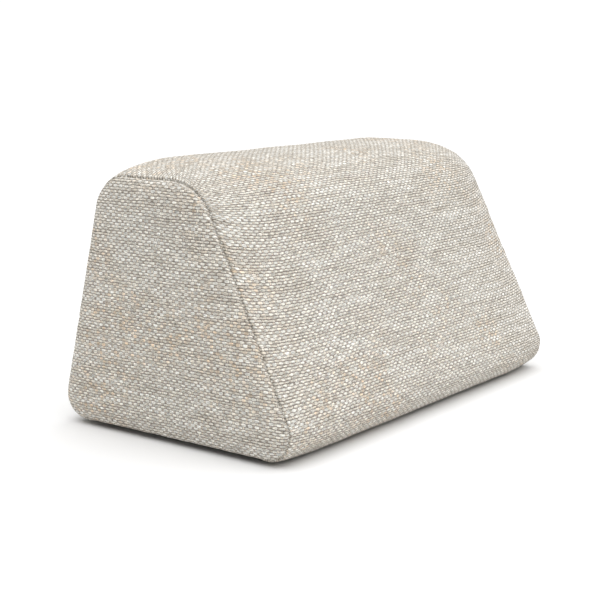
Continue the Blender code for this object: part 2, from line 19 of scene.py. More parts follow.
import bmesh
import bpy
import numpy as np
from bpy.types import (
    ID, Material, Mesh, Modifier, Node, NodeInputs, NodeOutputs, NodeSocket, NodeTree, Object
)
from mathutils import Euler, Matrix, Vector


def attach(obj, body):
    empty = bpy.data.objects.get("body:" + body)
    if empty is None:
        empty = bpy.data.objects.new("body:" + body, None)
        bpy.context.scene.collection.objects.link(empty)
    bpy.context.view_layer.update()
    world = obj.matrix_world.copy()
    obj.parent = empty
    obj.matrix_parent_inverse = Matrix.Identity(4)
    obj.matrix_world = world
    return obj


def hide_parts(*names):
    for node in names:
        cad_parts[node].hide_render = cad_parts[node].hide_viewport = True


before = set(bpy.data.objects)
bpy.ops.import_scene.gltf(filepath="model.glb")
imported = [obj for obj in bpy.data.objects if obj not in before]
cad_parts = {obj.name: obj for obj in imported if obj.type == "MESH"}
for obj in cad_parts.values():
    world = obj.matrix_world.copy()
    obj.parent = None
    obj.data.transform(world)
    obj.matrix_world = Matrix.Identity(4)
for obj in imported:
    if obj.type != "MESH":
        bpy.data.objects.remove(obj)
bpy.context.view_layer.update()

LOG = logging.getLogger("cushion")
YARN_MAP = "Yarns"
QUARTER_TURN = (0.0, math.pi / 2, 0.0)

Value = Union[float, Sequence[float], NodeSocket]
Inputs = dict[Union[str, int], Value]
Colour = tuple[float, float, float, float]
Range = tuple[float, float]


# ---------------------------------------------------------------------------------------------
# The form: sections, and the skins drawn between them
# ---------------------------------------------------------------------------------------------


class Side(Enum):
    """The two ends of the cushion, by the sign of their X."""

    LEFT = -1
    RIGHT = 1


class Stretch(Enum):
    """The stretches of a section's outline, in the order in which it is walked."""

    FRONT_UNDERSIDE = "front underside"
    FRONT_FOOT = "front foot"
    FRONT_FACE = "front face"
    FRONT_EDGE = "front top edge"
    TOP = "top"
    BACK_EDGE = "back top edge"
    BACK_FACE = "back face"
    ABOVE_ZIP = "rear foot above the zip"
    BELOW_ZIP = "rear foot below the zip"
    BACK_UNDERSIDE = "back underside"
    UNDERSIDE = "underside"


ARC_CORNERS = {
    Stretch.FRONT_FOOT: 0,
    Stretch.FRONT_EDGE: 1,
    Stretch.BACK_EDGE: 2,
    Stretch.ABOVE_ZIP: 3,
    Stretch.BELOW_ZIP: 3,
}
CROWDED = 0.006
SAMPLES = 33
FLAT_ENDS = {Stretch.FRONT_FACE: (0, 1), Stretch.TOP: (1, 2), Stretch.BACK_FACE: (2, 3)}


@dataclass(frozen=True)
class Corner:
    """A corner of a section before rounding, and the radius it is rounded to."""

    y: float
    z: float
    radius: float


@dataclass(frozen=True)
class Outline:
    """Points round a section, and the unit direction inwards from each."""

    points: np.ndarray
    inwards: np.ndarray


@dataclass(frozen=True)
class Section:
    """A cross-section of the cushion, walked from its front foot over the top to its rear foot."""

    corners: tuple[Corner, Corner, Corner, Corner]
    base_seams: tuple[float, float]
    zip_angle: float
    zip_radius: float

    def outward(self, index: int) -> tuple[np.ndarray, np.ndarray]:
        """Finds the outward normals of the two sides that meet at a corner.

        Args:
            index: The corner's number.

        Returns:
            The normal of the side that arrives at the corner, and of the one that leaves it.
        """
        normals = []
        for start in (index - 1, index):
            first, second = self.corners[start % 4], self.corners[(start + 1) % 4]
            along = np.array((second.y - first.y, second.z - first.z))
            along /= np.linalg.norm(along)
            normals.append(np.array((-along[1], along[0])))
        return normals[0], normals[1]

    def rounding(self, index: int) -> tuple[np.ndarray, float, float, float]:
        """Finds a corner's arc, which turns clockwise.

        Args:
            index: The corner's number.

        Returns:
            The arc's centre, its radius, and its first and last angle.
        """
        arrive, leave = self.outward(index)
        corner = self.corners[index]
        share = corner.radius / (1.0 + float(arrive @ leave))
        centre = np.array((corner.y, corner.z)) - (arrive + leave) * share
        first = math.atan2(arrive[1], arrive[0])
        last = math.atan2(leave[1], leave[0])
        if last > first:
            last -= 2 * math.pi
        return centre, corner.radius, first, last

    def arc_end(self, index: int, at_last: bool) -> np.ndarray:
        """Gives the point where a corner's arc begins, or where it ends.

        Args:
            index: The corner's number.
            at_last: Whether the arc's end is wanted.

        Returns:
            The point.
        """
        centre, radius, first, last = self.rounding(index)
        angle = last if at_last else first
        return centre + radius * np.array((math.cos(angle), math.sin(angle)))

    def locate(self, stretch: Stretch, shares: np.ndarray, half_opening: float) -> Outline:
        """Finds points along one stretch of the outline.

        Args:
            stretch: The stretch to walk.
            shares: How far along it each point lies, from 0 to 1.
            half_opening: From the zip's middle line to an edge of the cover.

        Returns:
            The points, with the directions inwards.
        """
        if stretch in ARC_CORNERS:
            centre, radius, first, last = self.rounding(ARC_CORNERS[stretch])
            if stretch is Stretch.ABOVE_ZIP:
                last = self.zip_angle + half_opening / self.zip_radius
            if stretch is Stretch.BELOW_ZIP:
                first = self.zip_angle - half_opening / self.zip_radius
            angles = first + (last - first) * shares
            outward = np.stack((np.cos(angles), np.sin(angles)), axis=1)
            return Outline(centre + outward * radius, -outward)
        foot = self.corners[0].z
        front_seam, back_seam = (np.array((y, foot)) for y in self.base_seams)
        inward = np.array((0.0, 1.0))
        if stretch in FLAT_ENDS:
            before, after = FLAT_ENDS[stretch]
            start, end = self.arc_end(before, True), self.arc_end(after, False)
            inward = -self.outward(after)[0]
        elif stretch is Stretch.FRONT_UNDERSIDE:
            start, end = front_seam, self.arc_end(0, False)
        elif stretch is Stretch.BACK_UNDERSIDE:
            start, end = self.arc_end(3, True), back_seam
        else:
            start, end = back_seam, front_seam
        points = start + (end - start) * shares[:, None]
        return Outline(points, np.repeat(inward[None, :], len(shares), axis=0))


@dataclass(frozen=True)
class Track:
    """The columns of a panel: where its lengthwise lines lie round the cushion."""

    places: tuple[tuple[Stretch, np.ndarray], ...]
    from_start: np.ndarray
    to_end: np.ndarray

    @classmethod
    def line(cls, stretch: Stretch, share: float) -> Track:
        """Makes a track of one single line."""
        return cls(((stretch, np.array([share])),), np.zeros(1), np.zeros(1))

    def outline(self, section: Section, half_opening: float) -> Outline:
        """Finds the track's points on a section.

        Args:
            section: The section.
            half_opening: From the zip's middle line to an edge of the cover.

        Returns:
            The points, with the directions inwards.
        """
        parts = [section.locate(stretch, shares, half_opening) for stretch, shares in self.places]
        return Outline(
            np.concatenate([part.points for part in parts]),
            np.concatenate([part.inwards for part in parts]),
        )


@dataclass(frozen=True)
class CushionForm:
    """The form of the cushion's outside, with the sizes that its solids have."""

    height: float = 0.250
    base_depth: float = 0.297
    top_depth: float = 0.128
    top_set_back: float = 0.024
    foot_radius: float = 0.0286
    top_front_radius: float = 0.085
    top_back_radius: float = 0.0364
    seam_length: float = 0.458
    end_lean: float = 0.0057
    end_crown: float = 0.0069
    end_crown_width: float = 0.022
    taper_length: float = 0.076
    taper_turn: float = math.radians(75.6)
    seam_inset_front: float = 0.0044
    seam_inset_back: float = 0.0071
    seam_inset_top_front: float = 0.0117
    seam_drop_top: float = 0.0126
    seam_rise_foot: float = 0.0048
    seam_top_front_radius: float = 0.053
    seam_top_back_radius: float = 0.0362
    base_seam_setback: float = 0.008
    clearance: float = 0.0003
    cloth: float = 0.0016
    zip_angle: float = math.radians(-32.0)
    zip_half_opening: float = 0.0052
    zip_end_distance: float = 0.050
    zip_end_turn: float = 0.008
    middle: Section = field(init=False)
    seam: Section = field(init=False)

    def __post_init__(self) -> None:
        """Works out the section at mid-length, and the one that the end seams follow."""
        top_front = self.top_set_back - self.top_depth / 2
        top_back = self.top_set_back + self.top_depth / 2
        corners = (
            Corner(-self.base_depth / 2, 0.0, self.foot_radius),
            Corner(top_front, self.height, self.top_front_radius),
            Corner(top_back, self.height, self.top_back_radius),
            Corner(self.base_depth / 2, 0.0, self.foot_radius),
        )
        rough = self.section(corners, (0.0, 0.0))
        front, back = rough.rounding(0)[0][0], rough.rounding(3)[0][0]
        shift = (front + back) / 2
        foot_front, edge_front, edge_back, foot_back = (
            Corner(corner.y - shift, corner.z, corner.radius) for corner in corners
        )
        top = self.height - self.seam_drop_top
        rise, foot = self.seam_rise_foot, self.foot_radius - self.seam_rise_foot
        drawn_in = (
            Corner(foot_front.y + self.seam_inset_front, rise, foot),
            Corner(edge_front.y + self.seam_inset_top_front, top, self.seam_top_front_radius),
            Corner(edge_back.y, top, self.seam_top_back_radius),
            Corner(foot_back.y - self.seam_inset_back, rise, foot),
        )
        back_seam = self.section(drawn_in, (0.0, 0.0)).rounding(3)[0][0] - self.base_seam_setback
        seams = (front - shift + self.base_seam_setback, back_seam)
        centred = (foot_front, edge_front, edge_back, foot_back)
        object.__setattr__(self, "middle", self.section(centred, seams))
        object.__setattr__(self, "seam", self.section(drawn_in, seams))

    def section(self, corners: Sequence[Corner], seams: tuple[float, float]) -> Section:
        """Makes a section of this form from its corners."""
        return Section(tuple(corners), seams, self.zip_angle, self.foot_radius)

    @property
    def half_length(self) -> float:
        """Half the distance between the end seams."""
        return self.seam_length / 2

    def track(
        self, stretches: Iterable[Stretch], spacing: float, edges: Sequence[float] = ()
    ) -> Track:
        """Lays out a panel's columns.

        Args:
            stretches: The stretches that the panel covers, in order.
            spacing: The distance between columns.
            edges: Distances from either long edge of the panel where further columns lie.

        Returns:
            The track.
        """
        stretches = list(stretches)
        places = []
        for number, stretch in enumerate(stretches):
            span = self.middle.locate(stretch, np.linspace(0.0, 1.0, SAMPLES), 0.0).points
            length = float(np.linalg.norm(np.diff(span, axis=0), axis=1).sum())
            shares = set(np.linspace(0.0, 1.0, max(2, round(length / spacing)) + 1))
            if number == 0:
                shares = spread(shares, [edge / length for edge in edges])
            if number == len(stretches) - 1:
                shares = spread(shares, [1.0 - edge / length for edge in edges])
            kept = np.array(sorted(shares))
            places.append((stretch, kept if number == 0 else kept[1:]))
        bare = Track(tuple(places), np.zeros(0), np.zeros(0))
        points = bare.outline(self.middle, 0.0).points
        along = np.concatenate(([0.0], np.linalg.norm(np.diff(points, axis=0), axis=1).cumsum()))
        return Track(tuple(places), along, along[-1] - along)

    def seam_x(self, height: np.ndarray) -> np.ndarray:
        """Tells how far along X the end seams lie at some heights."""
        return self.half_length - self.end_lean * height / self.height

    def drawn_in(self, distance: np.ndarray) -> np.ndarray:
        """Tells how far the faces have drawn in, from 0 to 1, at distances from an end seam.

        Args:
            distance: Distances from an end seam.

        Returns:
            The shares drawn in.
        """
        left = np.clip(1.0 - distance / self.taper_length, 0.0, 1.0)
        angle = np.arcsin(math.sin(self.taper_turn) * left)
        return (1.0 - np.cos(angle)) / (1.0 - math.cos(self.taper_turn))

    def openness(self, distance: np.ndarray) -> np.ndarray:
        """Tells how far the zip has opened, from 0 to 1, at distances from an end seam."""
        share = np.clip((distance - self.zip_end_distance) / self.zip_end_turn, 0.0, 1.0)
        return share * share * (3.0 - 2.0 * share)

    def crown(self, reach: np.ndarray) -> np.ndarray:
        """Tells how far an end panel stands out at distances inside its seam."""
        left = np.clip(1.0 - reach / self.end_crown_width, 0.0, 1.0)
        return self.end_crown * np.sqrt(1.0 - left * left)

    def wrapped(self, track: Track, lengthwise: np.ndarray, depth: np.ndarray) -> np.ndarray:
        """Draws a skin that is wrapped lengthwise round the cushion.

        Args:
            track: The columns.
            lengthwise: Where each row lies, from minus half the length to plus half.
            depth: How far inside the form each point lies, by row and column.

        Returns:
            The points, by row and column.
        """
        distance = self.half_length - np.abs(lengthwise)
        drawn = self.drawn_in(distance)[:, None, None]
        layers = []
        for half_opening in (self.clearance / 2, self.zip_half_opening):
            middle = track.outline(self.middle, half_opening)
            seam = track.outline(self.seam, half_opening)
            points = middle.points + (seam.points - middle.points) * drawn
            inwards = middle.inwards + (seam.inwards - middle.inwards) * drawn
            layers.append(points + inwards * depth[..., None])
        opened = self.openness(distance)[:, None, None]
        flat = layers[0] * (1.0 - opened) + layers[1] * opened
        reach = self.seam_x(flat[..., 1]) - self.clearance - depth
        near = np.minimum(distance, self.taper_length)[:, None]
        straight = self.half_length - self.taper_length
        far = np.clip((distance[:, None] - self.taper_length) / straight, 0.0, 1.0)
        x = np.sign(lengthwise)[:, None] * (reach - near) * (1.0 - far)
        return np.concatenate((x[..., None], flat), axis=2)

    def capped(self, track: Track, side: Side, reach: np.ndarray, depth: np.ndarray) -> np.ndarray:
        """Draws the skin of an end.

        Args:
            track: The columns, once round the section.
            side: The end.
            reach: How far inside the seam each row lies; the last one is the panel's middle.
            depth: How far inside the form each point lies, by row and column.

        Returns:
            The points, by row and column.
        """
        seam = track.outline(self.seam, self.clearance / 2)
        inner = np.minimum(reach, self.end_crown_width)[:, None, None]
        flat = seam.points + seam.inwards * (inner + depth[..., None])
        middle = flat[-1].mean(axis=0)
        width = self.end_crown_width
        shrink = np.clip((reach - width) / (reach[-1] - width), 0.0, 1.0)[:, None, None]
        flat = middle + (flat - middle) * (1.0 - shrink)
        out = self.seam_x(flat[..., 1]) - depth + self.crown(reach)[:, None]
        return np.concatenate((side.value * out[..., None], flat), axis=2)

    def zip_matrix(self) -> Matrix:
        """Gives the place and turn of the zip's own frame, whose Z points out of the cover.

        Returns:
            The matrix from the zip's frame to the model's.
        """
        centre, radius, _, _ = self.middle.rounding(3)
        y = centre[0] + radius * math.cos(self.zip_angle)
        z = centre[1] + radius * math.sin(self.zip_angle)
        turn = Euler((self.zip_angle - math.pi / 2, 0.0, 0.0)).to_matrix().to_4x4()
        return Matrix.Translation((0.0, y, z)) @ turn


def spread(shares: set[float], extra: Sequence[float]) -> set[float]:
    """Adds shares to a set, and drops those of the set that crowd them."""
    kept = {share for share in shares if all(abs(share - other) > CROWDED for other in extra)}
    return kept | set(extra) | {0.0, 1.0}


WRAP_STRETCHES = (
    Stretch.FRONT_UNDERSIDE,
    Stretch.FRONT_FOOT,
    Stretch.FRONT_FACE,
    Stretch.FRONT_EDGE,
    Stretch.TOP,
    Stretch.BACK_EDGE,
    Stretch.BACK_FACE,
    Stretch.ABOVE_ZIP,
)
STRIP_STRETCHES = (Stretch.BELOW_ZIP, Stretch.BACK_UNDERSIDE)
BASE_STRETCHES = (Stretch.UNDERSIDE,)
LOOP_STRETCHES = (*WRAP_STRETCHES, *STRIP_STRETCHES, *BASE_STRETCHES)


# ---------------------------------------------------------------------------------------------
# Meshes and objects
# ---------------------------------------------------------------------------------------------


def link(name: str, data: ID) -> Object:
    """Puts a mesh, a light or a camera into the scene as an object at the origin.

    Args:
        name: The object's name.
        data: What it shows.

    Returns:
        The object.
    """
    made = bpy.data.objects.new(name, data)
    bpy.context.scene.collection.objects.link(made)
    return made


def bare_mesh(
    name: str, points: Sequence, edges: Sequence = (), faces: Sequence = ()
) -> Mesh:
    """Makes a mesh from lists of points, edges and faces.

    Args:
        name: The mesh's name.
        points: Its points.
        edges: Its edges, as pairs of points.
        faces: Its faces, as rounds of points.

    Returns:
        The mesh.
    """
    mesh = bpy.data.meshes.new(name)
    mesh.from_pydata(points, edges, faces)
    return mesh


def quads(index: np.ndarray, flip: bool) -> list[list[int]]:
    """Makes the faces of a grid.

    Args:
        index: The number of the point at each row and column. A face that meets a point twice
            becomes a triangle.
        flip: Whether to turn the faces over.

    Returns:
        The faces.
    """
    corners = (index[:-1, :-1], index[1:, :-1], index[1:, 1:], index[:-1, 1:])
    faces = np.stack(corners[::-1] if flip else corners, axis=-1)
    return [list(dict.fromkeys(face)) for face in faces.reshape(-1, 4).tolist()]


def closed(grid: np.ndarray) -> np.ndarray:
    """Repeats a grid's first column at its end."""
    return np.concatenate((grid, grid[:, :1]), axis=1)


def vectors(mesh: Mesh, attribute: str) -> np.ndarray:
    """Reads a vector of every point of a mesh.

    Args:
        mesh: The mesh.
        attribute: The points' property, such as their place or their normal.

    Returns:
        One row for each point.
    """
    values = np.zeros(len(mesh.vertices) * 3, dtype=np.float32)
    mesh.vertices.foreach_get(attribute, values)
    return values.reshape(-1, 3)


def row_steps(points: np.ndarray) -> np.ndarray:
    """Measures how far apart neighbouring rows of points lie, on average."""
    return np.linalg.norm(np.diff(points, axis=0), axis=2).mean(axis=1)


def run_length(points: np.ndarray) -> np.ndarray:
    """Measures how far each row of points lies from the first."""
    return np.concatenate(([0.0], row_steps(points).cumsum()))


def plotted(down: np.ndarray, across: np.ndarray) -> np.ndarray:
    """Pairs every row's place with every column's."""
    return np.stack(np.broadcast_arrays(down[:, None], across[None, :]), axis=2)


def grid_mesh(
    name: str, points: np.ndarray, yarns: np.ndarray, ring: bool = False, flip: bool = False
) -> Mesh:
    """Makes a mesh of quads from rows of points.

    Args:
        name: The mesh's name.
        points: The points, by row and column.
        yarns: Where each point lies on the flat cloth, in metres, by row and column.
        ring: Whether each row closes on itself, with the last row as one single point.
        flip: Whether to turn the faces over.

    Returns:
        The mesh, shaded smooth, with its UV map.
    """
    rows, columns = points.shape[:2]
    index = np.arange(rows * columns).reshape(rows, columns)
    used = points.reshape(-1, 3)
    if ring:
        tip = (rows - 1) * columns
        index = np.minimum(closed(index), tip)
        used = used[: tip + 1]
    mesh = bare_mesh(name, used.tolist(), faces=quads(index, flip))
    layer = mesh.uv_layers.new(name=YARN_MAP)
    corners = np.zeros(len(mesh.loops), dtype=np.int32)
    mesh.loops.foreach_get("vertex_index", corners)
    layer.data.foreach_set("uv", yarns.reshape(-1, 2)[corners].astype(np.float32).ravel())
    mesh.shade_smooth()
    mesh.validate()
    return mesh


def modify(made: Object, kind: str, **settings: object) -> Modifier:
    """Adds a modifier and gives it its settings.

    Args:
        made: The object.
        kind: The modifier's type.
        settings: Its settings, by name.

    Returns:
        The modifier.
    """
    modifier = made.modifiers.new(kind.lower(), kind)
    for name, value in settings.items():
        setattr(modifier, name, value)
    return modifier


def frozen_mesh(made: Object, name: str) -> Mesh:
    """Makes a plain mesh of an object as its modifiers leave it, and removes the object.

    Args:
        made: The object.
        name: The mesh's name.

    Returns:
        The mesh.
    """
    graph = bpy.context.evaluated_depsgraph_get()
    mesh = bpy.data.meshes.new_from_object(made.evaluated_get(graph), depsgraph=graph)
    mesh.name = name
    bpy.data.objects.remove(made, do_unlink=True)
    return mesh


def merged_copy(node: str) -> Object:
    """Copies a CAD node's mesh, merged into one connected shell with flat faces rejoined.

    Args:
        node: The node's name.

    Returns:
        The copy, as an object.
    """
    shell = bmesh.new()
    shell.from_mesh(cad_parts[node].data)
    bmesh.ops.remove_doubles(shell, verts=shell.verts, dist=1e-6)
    bmesh.ops.dissolve_limit(
        shell, angle_limit=math.radians(1.0), verts=shell.verts, edges=shell.edges
    )
    bmesh.ops.recalc_face_normals(shell, faces=shell.faces)
    mesh = bpy.data.meshes.new(node + "_copy")
    shell.to_mesh(mesh)
    shell.free()
    return link(mesh.name, mesh)


def dress(made: Object, finish: Material) -> None:
    """Gives an object one material."""
    made.data.materials.clear()
    made.data.materials.append(finish)


def report(made: Object, body: str, slot: str, *nodes: str) -> None:
    """Attaches a finished piece to its body, hides the nodes it stands for, and logs it.

    Args:
        made: The piece.
        body: The body that it rides on.
        slot: Not used.
        nodes: The nodes that it stands for.
    """
    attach(made, body)
    if nodes:
        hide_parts(*nodes)
    LOG.info("%s: %d faces, rides on %s", made.name, len(made.data.polygons), body)


@dataclass(frozen=True)
class Ripple:
    """A smooth random field, made of a few sine waves in random directions."""

    seed: int
    shortest: float
    longest: float
    waves: int = 9

    def at(self, first: np.ndarray, second: np.ndarray) -> np.ndarray:
        """Gives the field's values, mostly from -1 to 1, at points of a surface.

        Args:
            first: Where the points lie in one direction, in metres.
            second: Where they lie in the other.

        Returns:
            The values.
        """
        chance = np.random.default_rng(self.seed)
        total = np.zeros(np.broadcast(first, second).shape)
        for _ in range(self.waves):
            length = self.shortest * (self.longest / self.shortest) ** chance.random()
            turn, phase = chance.random(2) * 2 * math.pi
            along = first * math.cos(turn) + second * math.sin(turn)
            total = total + np.sin(2 * math.pi * along / length + phase)
        return total / math.sqrt(self.waves)


# ---------------------------------------------------------------------------------------------
# Node trees
# ---------------------------------------------------------------------------------------------


class Graph:
    """Wires up one node tree."""

    def __init__(self, tree: NodeTree) -> None:
        """Starts on a tree."""
        self.tree = tree

    def put(self, socket: NodeSocket, value: Value) -> None:
        """Links a socket to a value's socket, or sets it.

        Args:
            socket: The input.
            value: What goes in.
        """
        if isinstance(value, NodeSocket):
            self.tree.links.new(value, socket)
        else:
            socket.default_value = value

    def add(self, kind: str, inputs: Inputs | None = None, **settings: object) -> Node:
        """Adds a node.

        Args:
            kind: The node's type.
            inputs: Values or sockets for its inputs, by name or number.
            settings: The node's own properties.

        Returns:
            The node.
        """
        node = self.tree.nodes.new(kind)
        for name, setting in settings.items():
            setattr(node, name, setting)
        for name, value in (inputs or {}).items():
            self.put(node.inputs[name], value)
        return node

    def first(self, kind: str, inputs: Inputs | None = None, **settings: object) -> NodeSocket:
        """Adds a node and gives its first output."""
        return self.add(kind, inputs, **settings).outputs[0]

    def math(self, operation: str, *values: Value) -> NodeSocket:
        """Adds a Math node and gives its result."""
        return self.first("ShaderNodeMath", dict(enumerate(values)), operation=operation)

    def plus(self, first: Value, second: Value) -> NodeSocket:
        """Adds two numbers."""
        return self.math("ADD", first, second)

    def minus(self, first: Value, second: Value) -> NodeSocket:
        """Takes the second number from the first."""
        return self.math("SUBTRACT", first, second)

    def times(self, first: Value, second: Value) -> NodeSocket:
        """Multiplies two numbers."""
        return self.math("MULTIPLY", first, second)

    def either(self, mask: Value, on: Value, off: Value) -> NodeSocket:
        """Gives one number where a mask is 1, and the other where it is 0."""
        return self.plus(self.times(mask, on), self.times(self.minus(1.0, mask), off))

    def mix(
        self, share: Value, first: Value, second: Value, blend_type: str = "MIX"
    ) -> NodeSocket:
        """Mixes two colours and gives the result.

        Args:
            share: How much of the second colour is mixed in.
            first: The first colour.
            second: The second colour.
            blend_type: How they are mixed.

        Returns:
            The mixed colour.
        """
        inputs = {0: share, 6: first, 7: second}
        return self.add(
            "ShaderNodeMix", inputs, data_type="RGBA", blend_type=blend_type
        ).outputs[2]

    def noise(self, place: Value, scale: Value, detail: float = 2.0) -> NodeSocket:
        """Adds a noise texture and gives its value."""
        return self.first("ShaderNodeTexNoise", {"Vector": place, "Scale": scale, "Detail": detail})

    def ramp(self, value: Value, low: Value, high: Value) -> NodeSocket:
        """Stretches a value's range from low..high to 0..1, with soft ends."""
        inputs = {"Value": value, "From Min": low, "From Max": high}
        return self.first("ShaderNodeMapRange", inputs, interpolation_type="SMOOTHSTEP")

    def between(self, value: Value, low: float, high: float) -> NodeSocket:
        """Turns a value's range from 0..1 to low..high."""
        return self.first("ShaderNodeMapRange", {"Value": value, "To Min": low, "To Max": high})

    def vector(self, x: Value, y: Value = 0.0, z: Value = 0.0) -> NodeSocket:
        """Joins three numbers into a vector."""
        return self.first("ShaderNodeCombineXYZ", {"X": x, "Y": y, "Z": z})

    def place(self) -> NodeSocket:
        """Gives the place on the piece, in metres."""
        return self.add("ShaderNodeTexCoord").outputs["Object"]


class Kind(Enum):
    """Kinds of group socket."""

    NUMBER = "NodeSocketFloat"
    VECTOR = "NodeSocketVector"
    COLOUR = "NodeSocketColor"
    WHOLE = "NodeSocketInt"
    SHAPE = "NodeSocketGeometry"
    MATERIAL = "NodeSocketMaterial"


def numbers(*labels: str) -> dict[str, Kind]:
    """Describes number sockets by their names."""
    return dict.fromkeys(labels, Kind.NUMBER)


def new_group(
    name: str, tree_type: str, inputs: dict[str, Kind], outputs: dict[str, Kind]
) -> tuple[Graph, NodeOutputs, NodeInputs]:
    """Starts a node group.

    Args:
        name: The group's name.
        tree_type: The type of its tree.
        inputs: Its inputs' names and kinds.
        outputs: Its outputs' names and kinds.

    Returns:
        Its graph, the sockets that bring its inputs, and those that take its outputs.
    """
    tree = bpy.data.node_groups.new(name, tree_type)
    for way, sockets in (("INPUT", inputs), ("OUTPUT", outputs)):
        for label, kind in sockets.items():
            tree.interface.new_socket(name=label, in_out=way, socket_type=kind.value)
    given = tree.nodes.new("NodeGroupInput").outputs
    return Graph(tree), given, tree.nodes.new("NodeGroupOutput").inputs


class WeaveGroup:
    """The shader group of a plain weave: two sets of yarns that cross over and under."""

    CRIMP = 0.5
    FLOOR = -0.6
    WARP_HEIGHT = 0.85
    WAVER_SCALE = 70.0
    WEFT_SLUBS = (0.075, 3.71)
    WARP_SLUBS = (0.11, 5.13)
    WARP_LAYER = 7.0
    FIBRES = ((1.1, 9.0, 0.0), (0.42, 2.6, 11.0))
    FIBRE_LAYER = 3.0

    def __init__(self) -> None:
        """Builds the group."""
        graph, given, ends = new_group(
            "plain_weave",
            "ShaderNodeTree",
            {
                "Place": Kind.VECTOR,
                **numbers("Warp Pitch", "Weft Pitch", "Warp Width", "Weft Width"),
                **numbers("Waver", "Slub", "Warp Rise"),
            },
            {**numbers("Height", "Weft", "Yarn", "Fibre"), "Float": Kind.COLOUR},
        )
        self.tree = graph.tree
        along, across = self.crossings(graph, given)
        warp_number, weft_number = graph.math("FLOOR", along), graph.math("FLOOR", across)
        warp_off = graph.minus(graph.math("FRACT", along), 0.5)
        weft_off = graph.minus(graph.math("FRACT", across), 0.5)
        length, apart = self.WEFT_SLUBS
        weft_row = graph.vector(graph.times(along, length), graph.times(weft_number, apart))
        length, apart = self.WARP_SLUBS
        warp_row = graph.vector(
            graph.times(warp_number, apart), graph.times(across, length), self.WARP_LAYER
        )
        weft_slub, warp_slub = graph.noise(weft_row, 1.0), graph.noise(warp_row, 1.0)
        weft_height = self.yarn(
            graph, weft_off, along, weft_number, given["Weft Width"], weft_slub, given["Slub"], 1.0
        )
        warp_height = self.yarn(
            graph, warp_off, across, warp_number, given["Warp Width"], warp_slub, given["Slub"],
            -1.0,
        )
        warp_height = graph.math("MULTIPLY_ADD", warp_height, self.WARP_HEIGHT, given["Warp Rise"])
        weft = graph.math("GREATER_THAN", weft_height, warp_height)
        cell = graph.add(
            "ShaderNodeTexWhiteNoise", {"Vector": graph.vector(warp_number, weft_number, weft)}
        )
        top = graph.math("MAXIMUM", weft_height, warp_height)
        graph.put(ends["Height"], graph.ramp(top, self.FLOOR, 1.0))
        graph.put(ends["Weft"], weft)
        graph.put(ends["Yarn"], graph.either(weft, weft_slub, warp_slub))
        graph.put(ends["Fibre"], self.fibres(graph, along, across, weft))
        graph.put(ends["Float"], cell.outputs["Color"])

    def crossings(self, graph: Graph, given: NodeOutputs) -> tuple[NodeSocket, NodeSocket]:
        """Measures the cloth along its weft and across it, in crossings, with wavering yarns.

        Args:
            graph: The group's graph.
            given: Its inputs.

        Returns:
            The measure along the weft, and the one across it.
        """
        kind = "ShaderNodeVectorMath"
        wander = graph.add(
            "ShaderNodeTexNoise",
            {"Vector": given["Place"], "Scale": self.WAVER_SCALE, "Detail": 3.0},
        )
        offset = {0: wander.outputs["Color"], 1: (0.5,) * 3}
        centred = graph.first(kind, offset, operation="SUBTRACT")
        moved = graph.first(kind, {0: centred, "Scale": given["Waver"]}, operation="SCALE")
        place = graph.first(kind, {0: given["Place"], 1: moved}, operation="ADD")
        split = graph.add("ShaderNodeSeparateXYZ", {0: place}).outputs
        along = graph.math("DIVIDE", split[0], given["Warp Pitch"])
        return along, graph.math("DIVIDE", split[1], given["Weft Pitch"])

    def fibres(self, graph: Graph, along: Value, across: Value, weft: Value) -> NodeSocket:
        """Adds the fibres, fine hairs and coarser bundles of them, that run along each yarn.

        Args:
            graph: The group's graph.
            along: Distance along the weft, in crossings.
            across: Distance along the warp, in crossings.
            weft: 1 where the weft is on top, and 0 where the warp is.

        Returns:
            Their noise.
        """
        layers = []
        for length, width, offset in self.FIBRES:
            hairs = graph.vector(graph.times(along, length), graph.times(across, width), offset)
            lengthways = graph.vector(
                graph.times(along, width), graph.times(across, length), offset + self.FIBRE_LAYER
            )
            layers.append(
                graph.either(weft, graph.noise(hairs, 1.0), graph.noise(lengthways, 1.0))
            )
        return graph.times(graph.plus(*layers), 0.5)

    def yarn(
        self, graph: Graph, off: Value, along: Value, number: Value, width: Value, slub: Value,
        slub_share: Value, phase: float,
    ) -> NodeSocket:
        """Adds one set of yarns.

        Args:
            graph: The group's graph.
            off: Distance from a yarn's middle line, in pitches.
            along: Distance along the yarn, in crossings.
            number: The yarn's number.
            width: The yarn's width, in pitches.
            slub: Noise along the yarn.
            slub_share: How much the yarn's width follows that noise.
            phase: 1 for the yarns that lie on top at even crossings, and -1 for the others.

        Returns:
            The height of the yarns' surface, from the floor of the weave up to 1.
        """
        turn = graph.minus(graph.minus(along, 0.5), number)
        wave = graph.math("COSINE", graph.times(turn, math.pi))
        crimp = graph.times(wave, self.CRIMP * phase)
        swollen = graph.plus(1.0, graph.times(graph.minus(slub, 0.5), slub_share))
        share = graph.math("DIVIDE", off, graph.times(graph.times(width, 0.5), swollen))
        square = graph.minus(1.0, graph.times(share, share))
        inside = graph.math("GREATER_THAN", square, 0.0)
        arch = graph.math("SQRT", graph.math("MAXIMUM", square, 0.0))
        raised = graph.plus(crimp, graph.times(arch, 1.0 - self.CRIMP))
        return graph.either(inside, raised, self.FLOOR)


